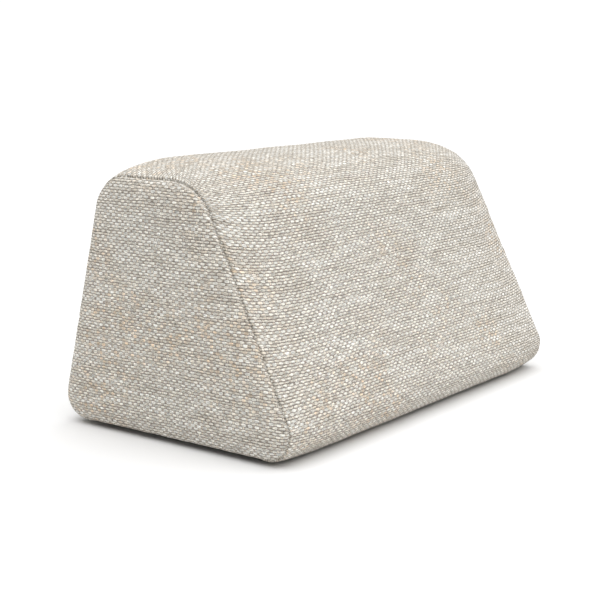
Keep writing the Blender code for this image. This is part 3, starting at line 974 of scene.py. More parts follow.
class Workshop:
    """The shader groups that the materials share."""

    def __init__(self) -> None:
        """Builds the groups."""
        self.weave = WeaveGroup().tree
        self.floor_shade = self.floor_shade_group()
        self.wear = self.wear_group()

    def floor_shade_group(self) -> NodeTree:
        """Builds the group that paints shade into a colour, a little and in patches, towards the
        floor.

        Returns:
            The group.
        """
        graph, given, ends = new_group(
            "painted_floor_shade",
            "ShaderNodeTree",
            {"Colour": Kind.COLOUR, "Floor Shade": Kind.COLOUR, **numbers("Amount", "Reach")},
            {"Colour": Kind.COLOUR},
        )
        place = graph.place()
        height = graph.add("ShaderNodeSeparateXYZ", {0: place}).outputs[2]
        # Painted shade: the colour darkens towards the floor, in patches.
        near = graph.minus(1.0, graph.ramp(height, 0.0, given["Reach"]))
        patchy = graph.times(near, graph.noise(place, 60.0, 4.0))
        share = graph.times(patchy, given["Amount"])
        graph.put(ends[0], graph.mix(share, given["Colour"], given["Floor Shade"]))
        return graph.tree

    def wear_group(self) -> NodeTree:
        """Builds the group that tells where an edge is rubbed bright.

        Returns:
            The group.
        """
        graph, given, ends = new_group(
            "edge_wear", "ShaderNodeTree", numbers("Sharpness", "Scale"), numbers("Wear")
        )
        bend = graph.add("ShaderNodeNewGeometry").outputs["Pointiness"]
        edge = graph.ramp(bend, 0.5, graph.plus(0.5, given["Sharpness"]))
        broken = graph.ramp(graph.noise(graph.place(), given["Scale"], 4.0), 0.35, 0.65)
        graph.put(ends[0], graph.times(edge, broken))
        return graph.tree


class Coat:
    """A material in the making: its graph and its own shader."""

    def __init__(self, name: str, **constants: Value) -> None:
        """Starts a material.

        Args:
            name: The material's name.
            constants: Values of the shader's own sockets, with underscores for spaces.
        """
        self.material = bpy.data.materials.new(name)
        self.material.use_nodes = True
        self.graph = Graph(self.material.node_tree)
        self.shader = self.material.node_tree.nodes["Principled BSDF"]
        for label, value in constants.items():
            self.shader.inputs[label.replace("_", " ")].default_value = value

    def finish(
        self, colour: Value, height: Value | None = None, relief: float = 0.0,
        roughness: Value | None = None,
    ) -> Material:
        """Wires up the shader.

        Args:
            colour: The base colour.
            height: The height of the surface, from 0 to 1, where it has relief.
            relief: How far that height raises it, in metres.
            roughness: The roughness, where it changes over the surface.

        Returns:
            The material.
        """
        self.graph.put(self.shader.inputs["Base Color"], colour)
        if roughness is not None:
            self.graph.put(self.shader.inputs["Roughness"], roughness)
        if height is not None:
            normal = self.graph.first("ShaderNodeBump", {"Height": height, "Distance": relief})
            self.graph.put(self.shader.inputs["Normal"], normal)
        return self.material


def shade(red: float, green: float, blue: float) -> Colour:
    """Makes an opaque colour."""
    return (red, green, blue, 1.0)


@dataclass(frozen=True)
class WovenFinish:
    """A plain-woven cloth."""

    name: str
    warp_pitch: float
    weft_pitch: float
    weft: Colour
    weft_pale: Colour
    weft_warm: Colour
    warp: Colour
    # The dark colour of the low places between the yarns: painted shade.
    gap_shade: Colour
    relief: float
    warp_width: float = 0.9
    weft_width: float = 0.88
    waver: float = 0.0013
    slub: float = 0.9
    warp_rise: float = -0.26
    # How much painted shade darkens the cloth near the floor, how high it reaches, and its colour.
    floor_shade: float = 0.25
    floor_shade_reach: float = 0.02
    floor_shade_colour: Colour = shade(0.36, 0.33, 0.28)
    pale_slubs: Range = (0.30, 0.72)
    warm_blotches: Range = (0.44, 0.66)
    blotch_scale: float = 9.0
    warm_floats: Range = (0.45, 1.0)
    weft_like_warps: Range = (0.45, 1.1)
    fibre_tone: Range = (-1.30, 3.22)
    float_tone: Range = (0.88, 1.08)
    gap_shade_heights: Range = (0.18, 0.72)
    fuzz: float = 0.25

    def build(self, shop: Workshop) -> Material:
        """Builds the material.

        Args:
            shop: The shared node groups.

        Returns:
            The material.
        """
        coat = Coat(
            self.name, Roughness=0.9, Sheen_Weight=0.15, Sheen_Roughness=0.5,
            Specular_IOR_Level=0.25,
        )
        graph = coat.graph
        flat = graph.first("ShaderNodeUVMap", uv_map=YARN_MAP)
        sizes = {
            "Place": flat,
            "Warp Pitch": self.warp_pitch,
            "Weft Pitch": self.weft_pitch,
            "Warp Width": self.warp_width,
            "Weft Width": self.weft_width,
            "Waver": self.waver,
            "Slub": self.slub,
            "Warp Rise": self.warp_rise,
        }
        weave = graph.add("ShaderNodeGroup", sizes, node_tree=shop.weave)
        height, weft, yarn, fibre, cell = weave.outputs
        chance = graph.add("ShaderNodeSeparateColor", {0: cell}).outputs
        paled = graph.mix(graph.ramp(yarn, *self.pale_slubs), self.weft, self.weft_pale)
        blotch = graph.ramp(graph.noise(flat, self.blotch_scale, 3.0), *self.warm_blotches)
        warm = graph.times(graph.ramp(chance[0], *self.warm_floats), blotch)
        weft_colour = graph.mix(warm, paled, self.weft_warm)
        like_weft = graph.ramp(chance[1], *self.weft_like_warps)
        yarns = graph.mix(weft, graph.mix(like_weft, self.warp, self.weft), weft_colour)
        lit = graph.between(fibre, *self.fibre_tone)
        tone = graph.times(lit, graph.between(chance[2], *self.float_tone))
        grey = graph.first("ShaderNodeCombineColor", dict.fromkeys(range(3), tone))
        toned = graph.mix(1.0, yarns, grey, "MULTIPLY")
        # Painted shade: the cloth darkens from the yarns' crests down into the gaps between them.
        cloth = graph.mix(graph.ramp(height, *self.gap_shade_heights), self.gap_shade, toned)
        # Painted shade, darker towards the floor.
        floor_shade = {
            "Colour": cloth, "Floor Shade": self.floor_shade_colour, "Amount": self.floor_shade, "Reach": self.floor_shade_reach
        }
        floor_shaded = graph.first("ShaderNodeGroup", floor_shade, node_tree=shop.floor_shade)
        return coat.finish(floor_shaded, graph.plus(height, graph.times(fibre, self.fuzz)), self.relief)


@dataclass(frozen=True)
class TapeFinish:
    """A finely woven narrow cloth, whose pattern lies on its place in the model."""

    name: str
    pitch: float
    light: Colour
    dark: Colour
    sheen: float
    roughness: float

    def build(self, shop: Workshop) -> Material:
        """Builds the material.

        Args:
            shop: The shared node groups.

        Returns:
            The material.
        """
        coat = Coat(
            self.name, Roughness=self.roughness, Sheen_Weight=self.sheen, Sheen_Roughness=0.4
        )
        graph = coat.graph
        split = graph.add("ShaderNodeSeparateXYZ", {0: graph.place()}).outputs
        sizes = {
            "Place": graph.vector(split[0], graph.times(split[2], 1.6)),
            "Warp Pitch": self.pitch,
            "Weft Pitch": self.pitch * 0.8,
            "Warp Width": 0.9,
            "Weft Width": 0.95,
            "Waver": 0.0001,
            "Slub": 0.2,
        }
        weave = graph.add("ShaderNodeGroup", sizes, node_tree=shop.weave).outputs
        # Painted shade: darker down in the low places of the weave, with the fibres' random tone.
        tone = graph.times(weave["Height"], graph.plus(weave["Fibre"], 0.5))
        colour = graph.mix(tone, self.dark, self.light)
        return coat.finish(colour, weave["Height"], self.pitch * 0.25)


@dataclass(frozen=True)
class ThreadFinish:
    """A twisted sewing thread."""

    name: str
    light: Colour
    dark: Colour
    twist_scale: float = 900.0
    relief: float = 0.00008

    def build(self) -> Material:
        """Builds the material.

        Returns:
            The material.
        """
        coat = Coat(self.name, Roughness=0.6, Sheen_Weight=0.3)
        sizes = {"Vector": coat.graph.place(), "Scale": self.twist_scale, "Distortion": 1.5}
        wave = coat.graph.add("ShaderNodeTexWave", sizes, bands_direction="DIAGONAL")
        # Painted shade: dark bands in the grooves of the twist.
        twist = wave.outputs["Fac"]
        return coat.finish(coat.graph.mix(twist, self.dark, self.light), twist, self.relief)


@dataclass(frozen=True)
class MetalFinish:
    """Satin metal, rubbed brighter along its edges."""

    name: str
    body: Colour
    worn: Colour
    grain: tuple[float, float, float] = (150.0, 4200.0, 4200.0)
    roughness: Range = (0.24, 0.46)
    polish: float = 0.08
    relief: float = 0.00001

    def build(self, shop: Workshop) -> Material:
        """Builds the material.

        Args:
            shop: The shared node groups.

        Returns:
            The material.
        """
        coat = Coat(self.name, Metallic=1.0)
        graph = coat.graph
        drawn = graph.first("ShaderNodeMapping", {"Vector": graph.place(), "Scale": self.grain})
        grain = graph.noise(drawn, 1.0, 4.0)
        sizes = {"Sharpness": 0.16, "Scale": 300.0}
        wear = graph.first("ShaderNodeGroup", sizes, node_tree=shop.wear)
        rough = graph.minus(graph.between(grain, *self.roughness), graph.times(wear, self.polish))
        return coat.finish(graph.mix(wear, self.body, self.worn), grain, self.relief, rough)


@dataclass(frozen=True)
class PlasticFinish:
    """Moulded or drawn plastic with a faint mottle."""

    name: str
    light: Colour
    dark: Colour
    roughness: float
    mottle: float
    roughness_change: float = 0.08
    relief: float = 0.00005

    def build(self) -> Material:
        """Builds the material.

        Returns:
            The material.
        """
        coat = Coat(self.name)
        graph, change = coat.graph, self.roughness_change
        cloud = graph.noise(graph.place(), self.mottle, 5.0)
        rough = graph.between(cloud, self.roughness - change, self.roughness + change)
        return coat.finish(graph.mix(cloud, self.dark, self.light), cloud, self.relief, rough)


@dataclass(frozen=True)
class FoamFinish:
    """Open-cell foam, a little yellowed with age."""

    name: str
    skin: Colour
    pore_shade: Colour
    cell: float
    aged: Colour = shade(0.72, 0.6, 0.36)
    ageing: float = 0.35

    def build(self) -> Material:
        """Builds the material.

        Returns:
            The material.
        """
        coat = Coat(self.name, Roughness=0.95, Sheen_Weight=0.2)
        graph, place = coat.graph, coat.graph.place()
        cells = graph.add("ShaderNodeTexVoronoi", {"Vector": place, "Scale": 1.0 / self.cell})
        wall = graph.ramp(cells.outputs["Distance"], 0.1, 0.75)
        ageing = graph.times(graph.noise(place, 14.0, 3.0), self.ageing)
        # Painted shade: the pores, low in the cells, are darker than the walls.
        colour = graph.mix(ageing, graph.mix(wall, self.pore_shade, self.skin), self.aged)
        return coat.finish(colour, wall, self.cell * 0.4)


@dataclass(frozen=True)
class WaddingFinish:
    """Lofted polyester fibre."""

    name: str
    fibre: Colour
    hollow: Colour
    relief: float = 0.0015

    def build(self) -> Material:
        """Builds the material.

        Returns:
            The material.
        """
        coat = Coat(self.name, Roughness=1.0, Sheen_Weight=0.6)
        graph, place = coat.graph, coat.graph.place()
        strands = graph.first(
            "ShaderNodeTexNoise",
            {"Vector": place, "Scale": 260.0, "Detail": 8.0, "Roughness": 0.75, "Distortion": 2.5},
        )
        loft = graph.times(strands, graph.plus(graph.noise(place, 45.0, 3.0), 0.6))
        # Painted shade: the hollows between the tufts of fibre are darker.
        colour = graph.mix(graph.ramp(loft, 0.3, 0.75), self.hollow, self.fibre)
        return coat.finish(colour, loft, self.relief)


@dataclass(frozen=True)
class FloorFinish:
    """A plain pale floor."""

    name: str
    pale: Colour
    cloud: Colour

    def build(self) -> Material:
        """Builds the material.

        Returns:
            The material.
        """
        coat = Coat(self.name, Roughness=0.9, Specular_IOR_Level=0.1)
        share = coat.graph.times(coat.graph.noise(coat.graph.place(), 3.0, 2.0), 0.03)
        return coat.finish(coat.graph.mix(share, self.pale, self.cloud))


UPHOLSTERY = WovenFinish(
    name="upholstery_weave",
    warp_pitch=0.0036,
    weft_pitch=0.00263,
    weft=shade(0.735, 0.69, 0.61),
    weft_pale=shade(0.87, 0.855, 0.81),
    weft_warm=shade(0.78, 0.63, 0.47),
    warp=shade(0.60, 0.535, 0.45),
    gap_shade=shade(0.13, 0.105, 0.08),
    relief=0.0012,
    waver=0.0019,
    warp_rise=-0.38,
)
GRIP_CLOTH = WovenFinish(
    name="grip_cloth_weave",
    warp_pitch=0.0012,
    weft_pitch=0.0012,
    weft=shade(0.19, 0.178, 0.165),
    weft_pale=shade(0.24, 0.228, 0.212),
    weft_warm=shade(0.21, 0.188, 0.162),
    warp=shade(0.15, 0.14, 0.13),
    gap_shade=shade(0.05, 0.047, 0.043),
    relief=0.0003,
    waver=0.0002,
    # Stronger painted shade on the underside, which lies at the floor.
    floor_shade=0.5,
)
TAPE_CLOTH = TapeFinish(
    "zip_tape_twill", 0.0008, shade(0.42, 0.37, 0.30), shade(0.16, 0.14, 0.11), 0.2, 0.8
)
LABEL_SATIN = TapeFinish(
    "label_satin", 0.0004, shade(0.86, 0.85, 0.81), shade(0.62, 0.61, 0.57), 0.5, 0.45
)
THREAD = ThreadFinish("sewing_thread", shade(0.52, 0.47, 0.39), shade(0.26, 0.23, 0.19))
GUNMETAL = MetalFinish("zip_gunmetal", shade(0.24, 0.225, 0.205), shade(0.44, 0.42, 0.39))
NYLON = PlasticFinish(
    "zip_filament", shade(0.40, 0.36, 0.30), shade(0.30, 0.27, 0.22), 0.42, 900.0
)
GRIP_DOTS = PlasticFinish(
    "grip_silicone", shade(0.05, 0.05, 0.05), shade(0.02, 0.02, 0.02), 0.5, 700.0
)
FIRM_FOAM = FoamFinish("firm_foam_cells", shade(0.33, 0.42, 0.52), shade(0.15, 0.2, 0.27), 0.0012)
SOFT_FOAM = FoamFinish("soft_foam_cells", shade(0.80, 0.74, 0.52), shade(0.48, 0.42, 0.26), 0.0016)
FIBREFILL = WaddingFinish("wadding_fibres", shade(0.90, 0.90, 0.88), shade(0.55, 0.55, 0.54))
STUDIO_FLOOR = FloorFinish("studio_floor", shade(0.86, 0.86, 0.86), shade(0.80, 0.80, 0.80))


# ---------------------------------------------------------------------------------------------
# Geometry trees
# ---------------------------------------------------------------------------------------------


def grown(name: str, seeds: Mesh, tree: NodeTree, sizes: dict[str, object]) -> Object:
    """Runs a geometry tree once, and makes a plain object of its result.

    Args:
        name: The object's name.
        seeds: The mesh that the tree starts from.
        tree: The tree.
        sizes: Values for the tree's inputs, by name.

    Returns:
        The object.
    """
    made = link(name + "_seeds", seeds)
    modifier = modify(made, "NODES", node_group=tree)
    for item in tree.interface.items_tree:
        if item.item_type == "SOCKET" and item.in_out == "INPUT" and item.name in sizes:
            modifier[item.identifier] = sizes[item.name]
    return link(name, frozen_mesh(made, name))


def geometry_tree(name: str, *labels: str) -> tuple[Graph, NodeOutputs, NodeInputs]:
    """Starts a geometry tree whose inputs are geometry, some sizes and a material.

    Args:
        name: The tree's name.
        labels: The names of its sizes; one called Seed is a whole number.

    Returns:
        The graph, what the tree is given, and where it ends.
    """
    sizes = {label: Kind.WHOLE if label == "Seed" else Kind.NUMBER for label in labels}
    inputs = {"Geometry": Kind.SHAPE, **sizes, "Material": Kind.MATERIAL}
    return new_group(name, "GeometryNodeTree", inputs, {"Geometry": Kind.SHAPE})


def end_tree(graph: Graph, ends: NodeInputs, shape: Value, material: Value) -> NodeTree:
    """Ends a geometry tree: smooth plain geometry with its material.

    Args:
        graph: The tree's graph.
        ends: Where it ends.
        shape: The geometry.
        material: Its material.

    Returns:
        The tree.
    """
    plain = graph.first("GeometryNodeRealizeInstances", {"Geometry": shape})
    smooth = graph.first("GeometryNodeSetShadeSmooth", {"Geometry": plain})
    dressed = {"Geometry": smooth, "Material": material}
    graph.put(ends[0], graph.first("GeometryNodeSetMaterial", dressed))
    return graph.tree


def scattered(
    graph: Graph, seed: Value, placing: Inputs, smallest: Sequence[float], largest: Sequence[float]
) -> NodeSocket:
    """Sets a copy of a shape on every point, each of a slightly different size.

    Args:
        graph: The tree's graph.
        seed: The seed of the sizes.
        placing: The points, the shape and any turn.
        smallest: The smallest size, as a share in each direction.
        largest: The largest size.

    Returns:
        The copies.
    """
    limits = {0: smallest, 1: largest, "Seed": seed}
    chance = graph.first("FunctionNodeRandomValue", limits, data_type="FLOAT_VECTOR")
    return graph.first("GeometryNodeInstanceOnPoints", {**placing, "Scale": chance})


def dot_tree() -> NodeTree:
    """Builds the tree that sets a flat dome on every point.

    Returns:
        The tree.
    """
    graph, given, ends = geometry_tree("dots", "Radius", "Height", "Seed")
    ball = graph.first("GeometryNodeMeshUVSphere", {"Segments": 8, "Rings": 4, "Radius": 1.0})
    size = graph.vector(given["Radius"], given["Radius"], given["Height"])
    dome = graph.first("GeometryNodeTransform", {"Geometry": ball, "Scale": size})
    placing = {"Points": given["Geometry"], "Instance": dome}
    dots = scattered(graph, given["Seed"], placing, (0.9, 0.9, 1.0), (1.05, 1.05, 1.0))
    return end_tree(graph, ends, dots, given["Material"])


def stitch_tree() -> NodeTree:
    """Builds the tree that sews stitches along the edges of a mesh.

    Returns:
        The tree.
    """
    graph, given, ends = geometry_tree("stitch_row", "Pitch", "Stitch", "Radius", "Seed")
    path = graph.first("GeometryNodeMeshToCurve", {"Mesh": given["Geometry"]})
    spacing = {"Curve": path, "Length": given["Pitch"]}
    spaced = graph.first("GeometryNodeResampleCurve", spacing, mode="LENGTH")
    tangent = graph.first("GeometryNodeInputTangent")
    turn = graph.first("FunctionNodeAlignRotationToVector", {"Vector": tangent}, axis="X")
    ball = graph.first("GeometryNodeMeshUVSphere", {"Segments": 6, "Rings": 5, "Radius": 1.0})
    lie = graph.first("GeometryNodeTransform", {"Geometry": ball, "Rotation": QUARTER_TURN})
    size = graph.vector(graph.times(given["Stitch"], 0.5), given["Radius"], given["Radius"])
    stitch = graph.first("GeometryNodeTransform", {"Geometry": lie, "Scale": size})
    placing = {"Points": spaced, "Instance": stitch, "Rotation": turn}
    sewn = scattered(graph, given["Seed"], placing, (0.88, 0.9, 0.9), (1.04, 1.1, 1.1))
    return end_tree(graph, ends, sewn, given["Material"])


def coil_tree() -> NodeTree:
    """Builds the tree that winds a filament into a flattened coil along X.

    Returns:
        The tree.
    """
    graph, given, ends = geometry_tree(
        "wound_coil", "Turns", "Length", "Half Width", "Half Height", "Wire"
    )
    winding = {
        "Resolution": 10,
        "Rotations": given["Turns"],
        "Start Radius": 1.0,
        "End Radius": 1.0,
        "Height": given["Length"],
    }
    laying = {
        "Geometry": graph.first("GeometryNodeCurveSpiral", winding),
        "Scale": graph.vector(given["Half Height"], given["Half Width"], 1.0),
        "Rotation": QUARTER_TURN,
        "Translation": graph.vector(graph.times(given["Length"], -0.5)),
    }
    laid = graph.first("GeometryNodeTransform", laying)
    profile = {"Resolution": 6, "Radius": given["Wire"]}
    filament = {
        "Curve": laid,
        "Profile Curve": graph.first("GeometryNodeCurvePrimitiveCircle", profile),
        "Fill Caps": True,
    }
    wire = graph.first("GeometryNodeCurveToMesh", filament)
    return end_tree(graph, ends, wire, given["Material"])


# ---------------------------------------------------------------------------------------------
# The cover
# ---------------------------------------------------------------------------------------------


def gathered(distance: np.ndarray, reach: float) -> np.ndarray:
    """Gives a bell that is 1 on a line and falls away over a reach on either side of it."""
    return np.exp(-((distance / reach) ** 2))


@dataclass(frozen=True)
class Relief:
    """How the cloth of the cover lies in and out of the plain form, in metres of depth."""

    form: CushionForm
    furrow: float = 0.0013
    furrow_reach: float = 0.0009
    pucker: float = 0.00020
    end_pucker: float = 0.00010
    pucker_reach: float = 0.010
    pucker_stretch: float = 0.12
    ridge: float = 0.00018
    ridge_place: float = 0.0024
    ridge_reach: float = 0.0014
    hollow: float = 0.6
    hollow_place: float = 0.0056
    hollow_reach: float = 0.0012
    wave: float = 0.00022
    ripple: float = 0.35
    ripple_stretch: float = 1.4
    settle_reach: float = 0.012
    sewn: float = 0.0009
    hem: float = 0.00045
    hem_reach: float = 0.0009
    stitch_line: float = 0.0030
    stitch_groove: float = 0.00032
    stitch_reach: float = 0.0008

    def of_wrap(self, track: Track, lengthwise: np.ndarray, swell: np.ndarray) -> np.ndarray:
        """Gives the depths of a wrapped panel.

        Args:
            track: The panel's columns.
            lengthwise: Where its rows lie.
            swell: How far the stuffing pushes each point out.

        Returns:
            The depths, by row and column.
        """
        distance = (self.form.half_length - np.abs(lengthwise))[:, None]
        along = lengthwise[:, None]
        around = track.from_start[None, :]
        depth = self.furrow * gathered(distance, self.furrow_reach) - swell
        creases = Ripple(11, 0.010, 0.026).at(around * 1.0, along * self.pucker_stretch)
        depth = depth + self.pucker * np.exp(-distance / self.pucker_reach) * creases
        depth = depth - self.ridge * gathered(distance - self.ridge_place, self.ridge_reach)
        hollow = gathered(distance - self.hollow_place, self.hollow_reach)
        depth = depth + self.hollow * self.ridge * hollow
        depth = depth + self.wave * Ripple(12, 0.07, 0.24).at(along, around)
        ripples = Ripple(13, 0.028, 0.06).at(along, around * self.ripple_stretch)
        return depth + self.ripple * self.wave * ripples

    def of_sewn_edge(self, off_edge: np.ndarray) -> np.ndarray:
        """Gives the extra depth beside an edge that is sewn to another panel."""
        return self.sewn * gathered(off_edge, self.furrow_reach)

    def of_zip_edge(self, off_edge: np.ndarray, distance: np.ndarray) -> np.ndarray:
        """Gives the extra depth beside the zip: a rolled hem and the line of its topstitching.

        Args:
            off_edge: Distances from the edge, by column.
            distance: Distances from the end seams, by row.

        Returns:
            The depths, by row and column.
        """
        opened = self.form.openness(distance)[:, None]
        hem = self.hem * gathered(off_edge, self.hem_reach)
        groove = self.stitch_groove * gathered(off_edge - self.stitch_line, self.stitch_reach)
        return opened * (hem + groove) + (1.0 - opened) * self.of_sewn_edge(off_edge)

    def of_end(
        self, seed: int, reach: np.ndarray, around: np.ndarray, flat: np.ndarray, swell: np.ndarray
    ) -> np.ndarray:
        """Gives the depths of an end panel.

        Args:
            seed: The seed of its waves.
            reach: How far inside the seam each row lies.
            around: How far round the section each column lies.
            flat: Where each point lies on the section, by row and column.
            swell: How far the stuffing pushes each point out.

        Returns:
            The depths, by row and column.
        """
        inner = reach[:, None]
        depth = self.furrow * gathered(inner, self.furrow_reach) - swell
        creases = Ripple(seed, 0.010, 0.028).at(around[None, :], inner * self.pucker_stretch)
        depth = depth + self.end_pucker * np.exp(-inner / self.pucker_reach) * creases
        waves = Ripple(seed + 1, 0.07, 0.2).at(flat[..., 0], flat[..., 1])
        return depth + self.wave * waves * np.clip(inner / self.settle_reach, 0.0, 1.0)


@dataclass(frozen=True)
class Panels:
    """Lays out and draws the panels of the cover."""

    form: CushionForm
    relief: Relief
    spacing: float = 0.0030
    beside_seam: tuple[float, ...] = (0.0004, 0.0008, 0.0013, 0.0020, 0.0030, 0.0045, 0.0065)
    beside_hem: tuple[float, ...] = (0.0004, 0.0009, 0.0015, 0.0022, 0.0030, 0.0038, 0.0050)
    turned_in: tuple[float, ...] = (0.0048, 0.0024, 0.0010)
    turn_gap: float = 0.0002
    first_plain: float = 0.0095
    end_cut: float = 0.37

    def rows(self) -> np.ndarray:
        """Lays out the rows of a wrapped panel, from the left end seam to the right one.

        Returns:
            Where the rows lie, from minus half the length to plus half.
        """
        half = self.form.half_length
        zip_end = self.form.zip_end_distance
        near = [0.0, *self.beside_seam]
        first = np.arange(self.first_plain, zip_end - 0.001, self.spacing)
        second = zip_end + np.linspace(0.0, self.form.zip_end_turn, 6)
        third = np.arange(second[-1] + 0.002, half - self.spacing, self.spacing)
        left = np.unique(np.concatenate((near, first, second, third, [half]))) - half
        return np.concatenate((left, -left[:-1][::-1]))

    def end_rows(self) -> np.ndarray:
        """Lays out the rows of an end panel, from its seam to its middle.

        Returns:
            How far inside the seam each row lies.
        """
        width = self.form.end_crown_width
        near = np.array([0.0, *self.beside_seam, 0.009, 0.012, 0.015, 0.0185])
        return np.concatenate((near, np.linspace(width, width + 0.1, 34)))

    def wrap(
        self, name: str, track: Track, edge_depth: np.ndarray, swell: np.ndarray, origin: float
    ) -> Object:
        """Makes a wrapped panel, with its edges turned in at the end seams.

        Args:
            name: The panel's name.
            track: Its columns.
            edge_depth: Extra depths beside its long edges, by row and column.
            swell: How far the stuffing pushes it out, by row and column.
            origin: Where its cloth was cut from, along the cloth.

        Returns:
            The panel.
        """
        lengthwise = self.rows()
        depth = self.relief.of_wrap(track, lengthwise, swell) + edge_depth
        points = self.form.wrapped(track, lengthwise, depth)
        ends = []
        for side, row in ((Side.LEFT, 0), (Side.RIGHT, -1)):
            folded = []
            for inset in self.turned_in:
                rung = self.form.wrapped(track, lengthwise[[row]], depth[[row]] + inset)
                rung[..., 0] = points[[row], :, 0] - side.value * self.turn_gap
                folded.append(rung)
            ends.append(np.concatenate(folded if side is Side.LEFT else folded[::-1]))
        points = np.concatenate((ends[0], points, ends[1]))
        points[..., 2] = np.maximum(points[..., 2], 0.0)
        along = run_length(points)
        along -= along[len(along) // 2]
        made = link(name, grid_mesh(name, points, plotted(along, track.from_start + origin)))
        modify(made, "SOLIDIFY", thickness=self.form.cloth, offset=-1.0)
        return made

    def end(self, name: str, side: Side, track: Track, seed: int, swell: np.ndarray) -> Object:
        """Makes an end panel.

        Args:
            name: The panel's name.
            side: The end that it closes.
            track: Its columns, once round the section.
            seed: The seed of its waves.
            swell: How far the stuffing pushes it out, by row and column.

        Returns:
            The panel.
        """
        reach = self.end_rows()
        flat = self.form.capped(track, side, reach, np.zeros((len(reach), 1)))[..., 1:]
        depth = self.relief.of_end(seed, reach, track.from_start, flat, swell)
        depth[-1] = depth[-1].mean()
        points = self.form.capped(track, side, reach, depth)[:, :-1]
        curved = row_steps(points) - row_steps(points[..., 1:])
        extra = np.concatenate((curved[::-1].cumsum()[::-1], [0.0]))
        inwards = track.outline(self.form.seam, self.form.clearance / 2).inwards[:-1]
        yarns = points[..., 1:] - inwards[None] * extra[:, None, None] + side.value * self.end_cut
        mesh = grid_mesh(name, points, yarns, ring=True, flip=side is Side.LEFT)
        made = link(name, mesh)
        modify(made, "SOLIDIFY", thickness=self.form.cloth, offset=-1.0)
        return made


def resampled(
    values: np.ndarray, old: tuple[np.ndarray, np.ndarray], new: tuple[np.ndarray, np.ndarray]
) -> np.ndarray:
    """Reads a grid of values at other rows and columns.

    Args:
        values: The grid.
        old: Where its rows and its columns lie.
        new: Where the wanted rows and columns lie.

    Returns:
        The wanted grid.
    """
    across = np.stack([np.interp(new[1], old[1], row) for row in values])
    return np.stack([np.interp(new[0], old[0], column) for column in across.T], axis=1)


@dataclass(frozen=True)
class Swell:
    """How far the stuffing pushes the cover out, over the wrap and over each end."""

    around: np.ndarray
    lengthwise: np.ndarray
    reach: np.ndarray
    wrap: np.ndarray
    ends: dict[Side, np.ndarray]

    def of_wrap(self, track: Track, lengthwise: np.ndarray, start: float) -> np.ndarray:
        """Gives the swell of a wrapped panel.

        Args:
            track: Its columns.
            lengthwise: Where its rows lie.
            start: How far round the cover its first column lies.

        Returns:
            The swell, by row and column.
        """
        old = (self.lengthwise, self.around)
        return resampled(self.wrap, old, (lengthwise, track.from_start + start))

    def of_end(self, track: Track, reach: np.ndarray, side: Side) -> np.ndarray:
        """Gives the swell of an end panel, by row and column."""
        return resampled(self.ends[side], (self.reach, self.around), (reach, track.from_start))


CLOTH_SETTINGS = {
    "quality": 5,
    "mass": 0.3,
    "use_pressure": True,
    "vertex_group_mass": "held",
    "tension_stiffness": 25.0,
    "compression_stiffness": 20.0,
    "shear_stiffness": 8.0,
    "bending_stiffness": 0.4,
    "shrink_min": -0.012,
}


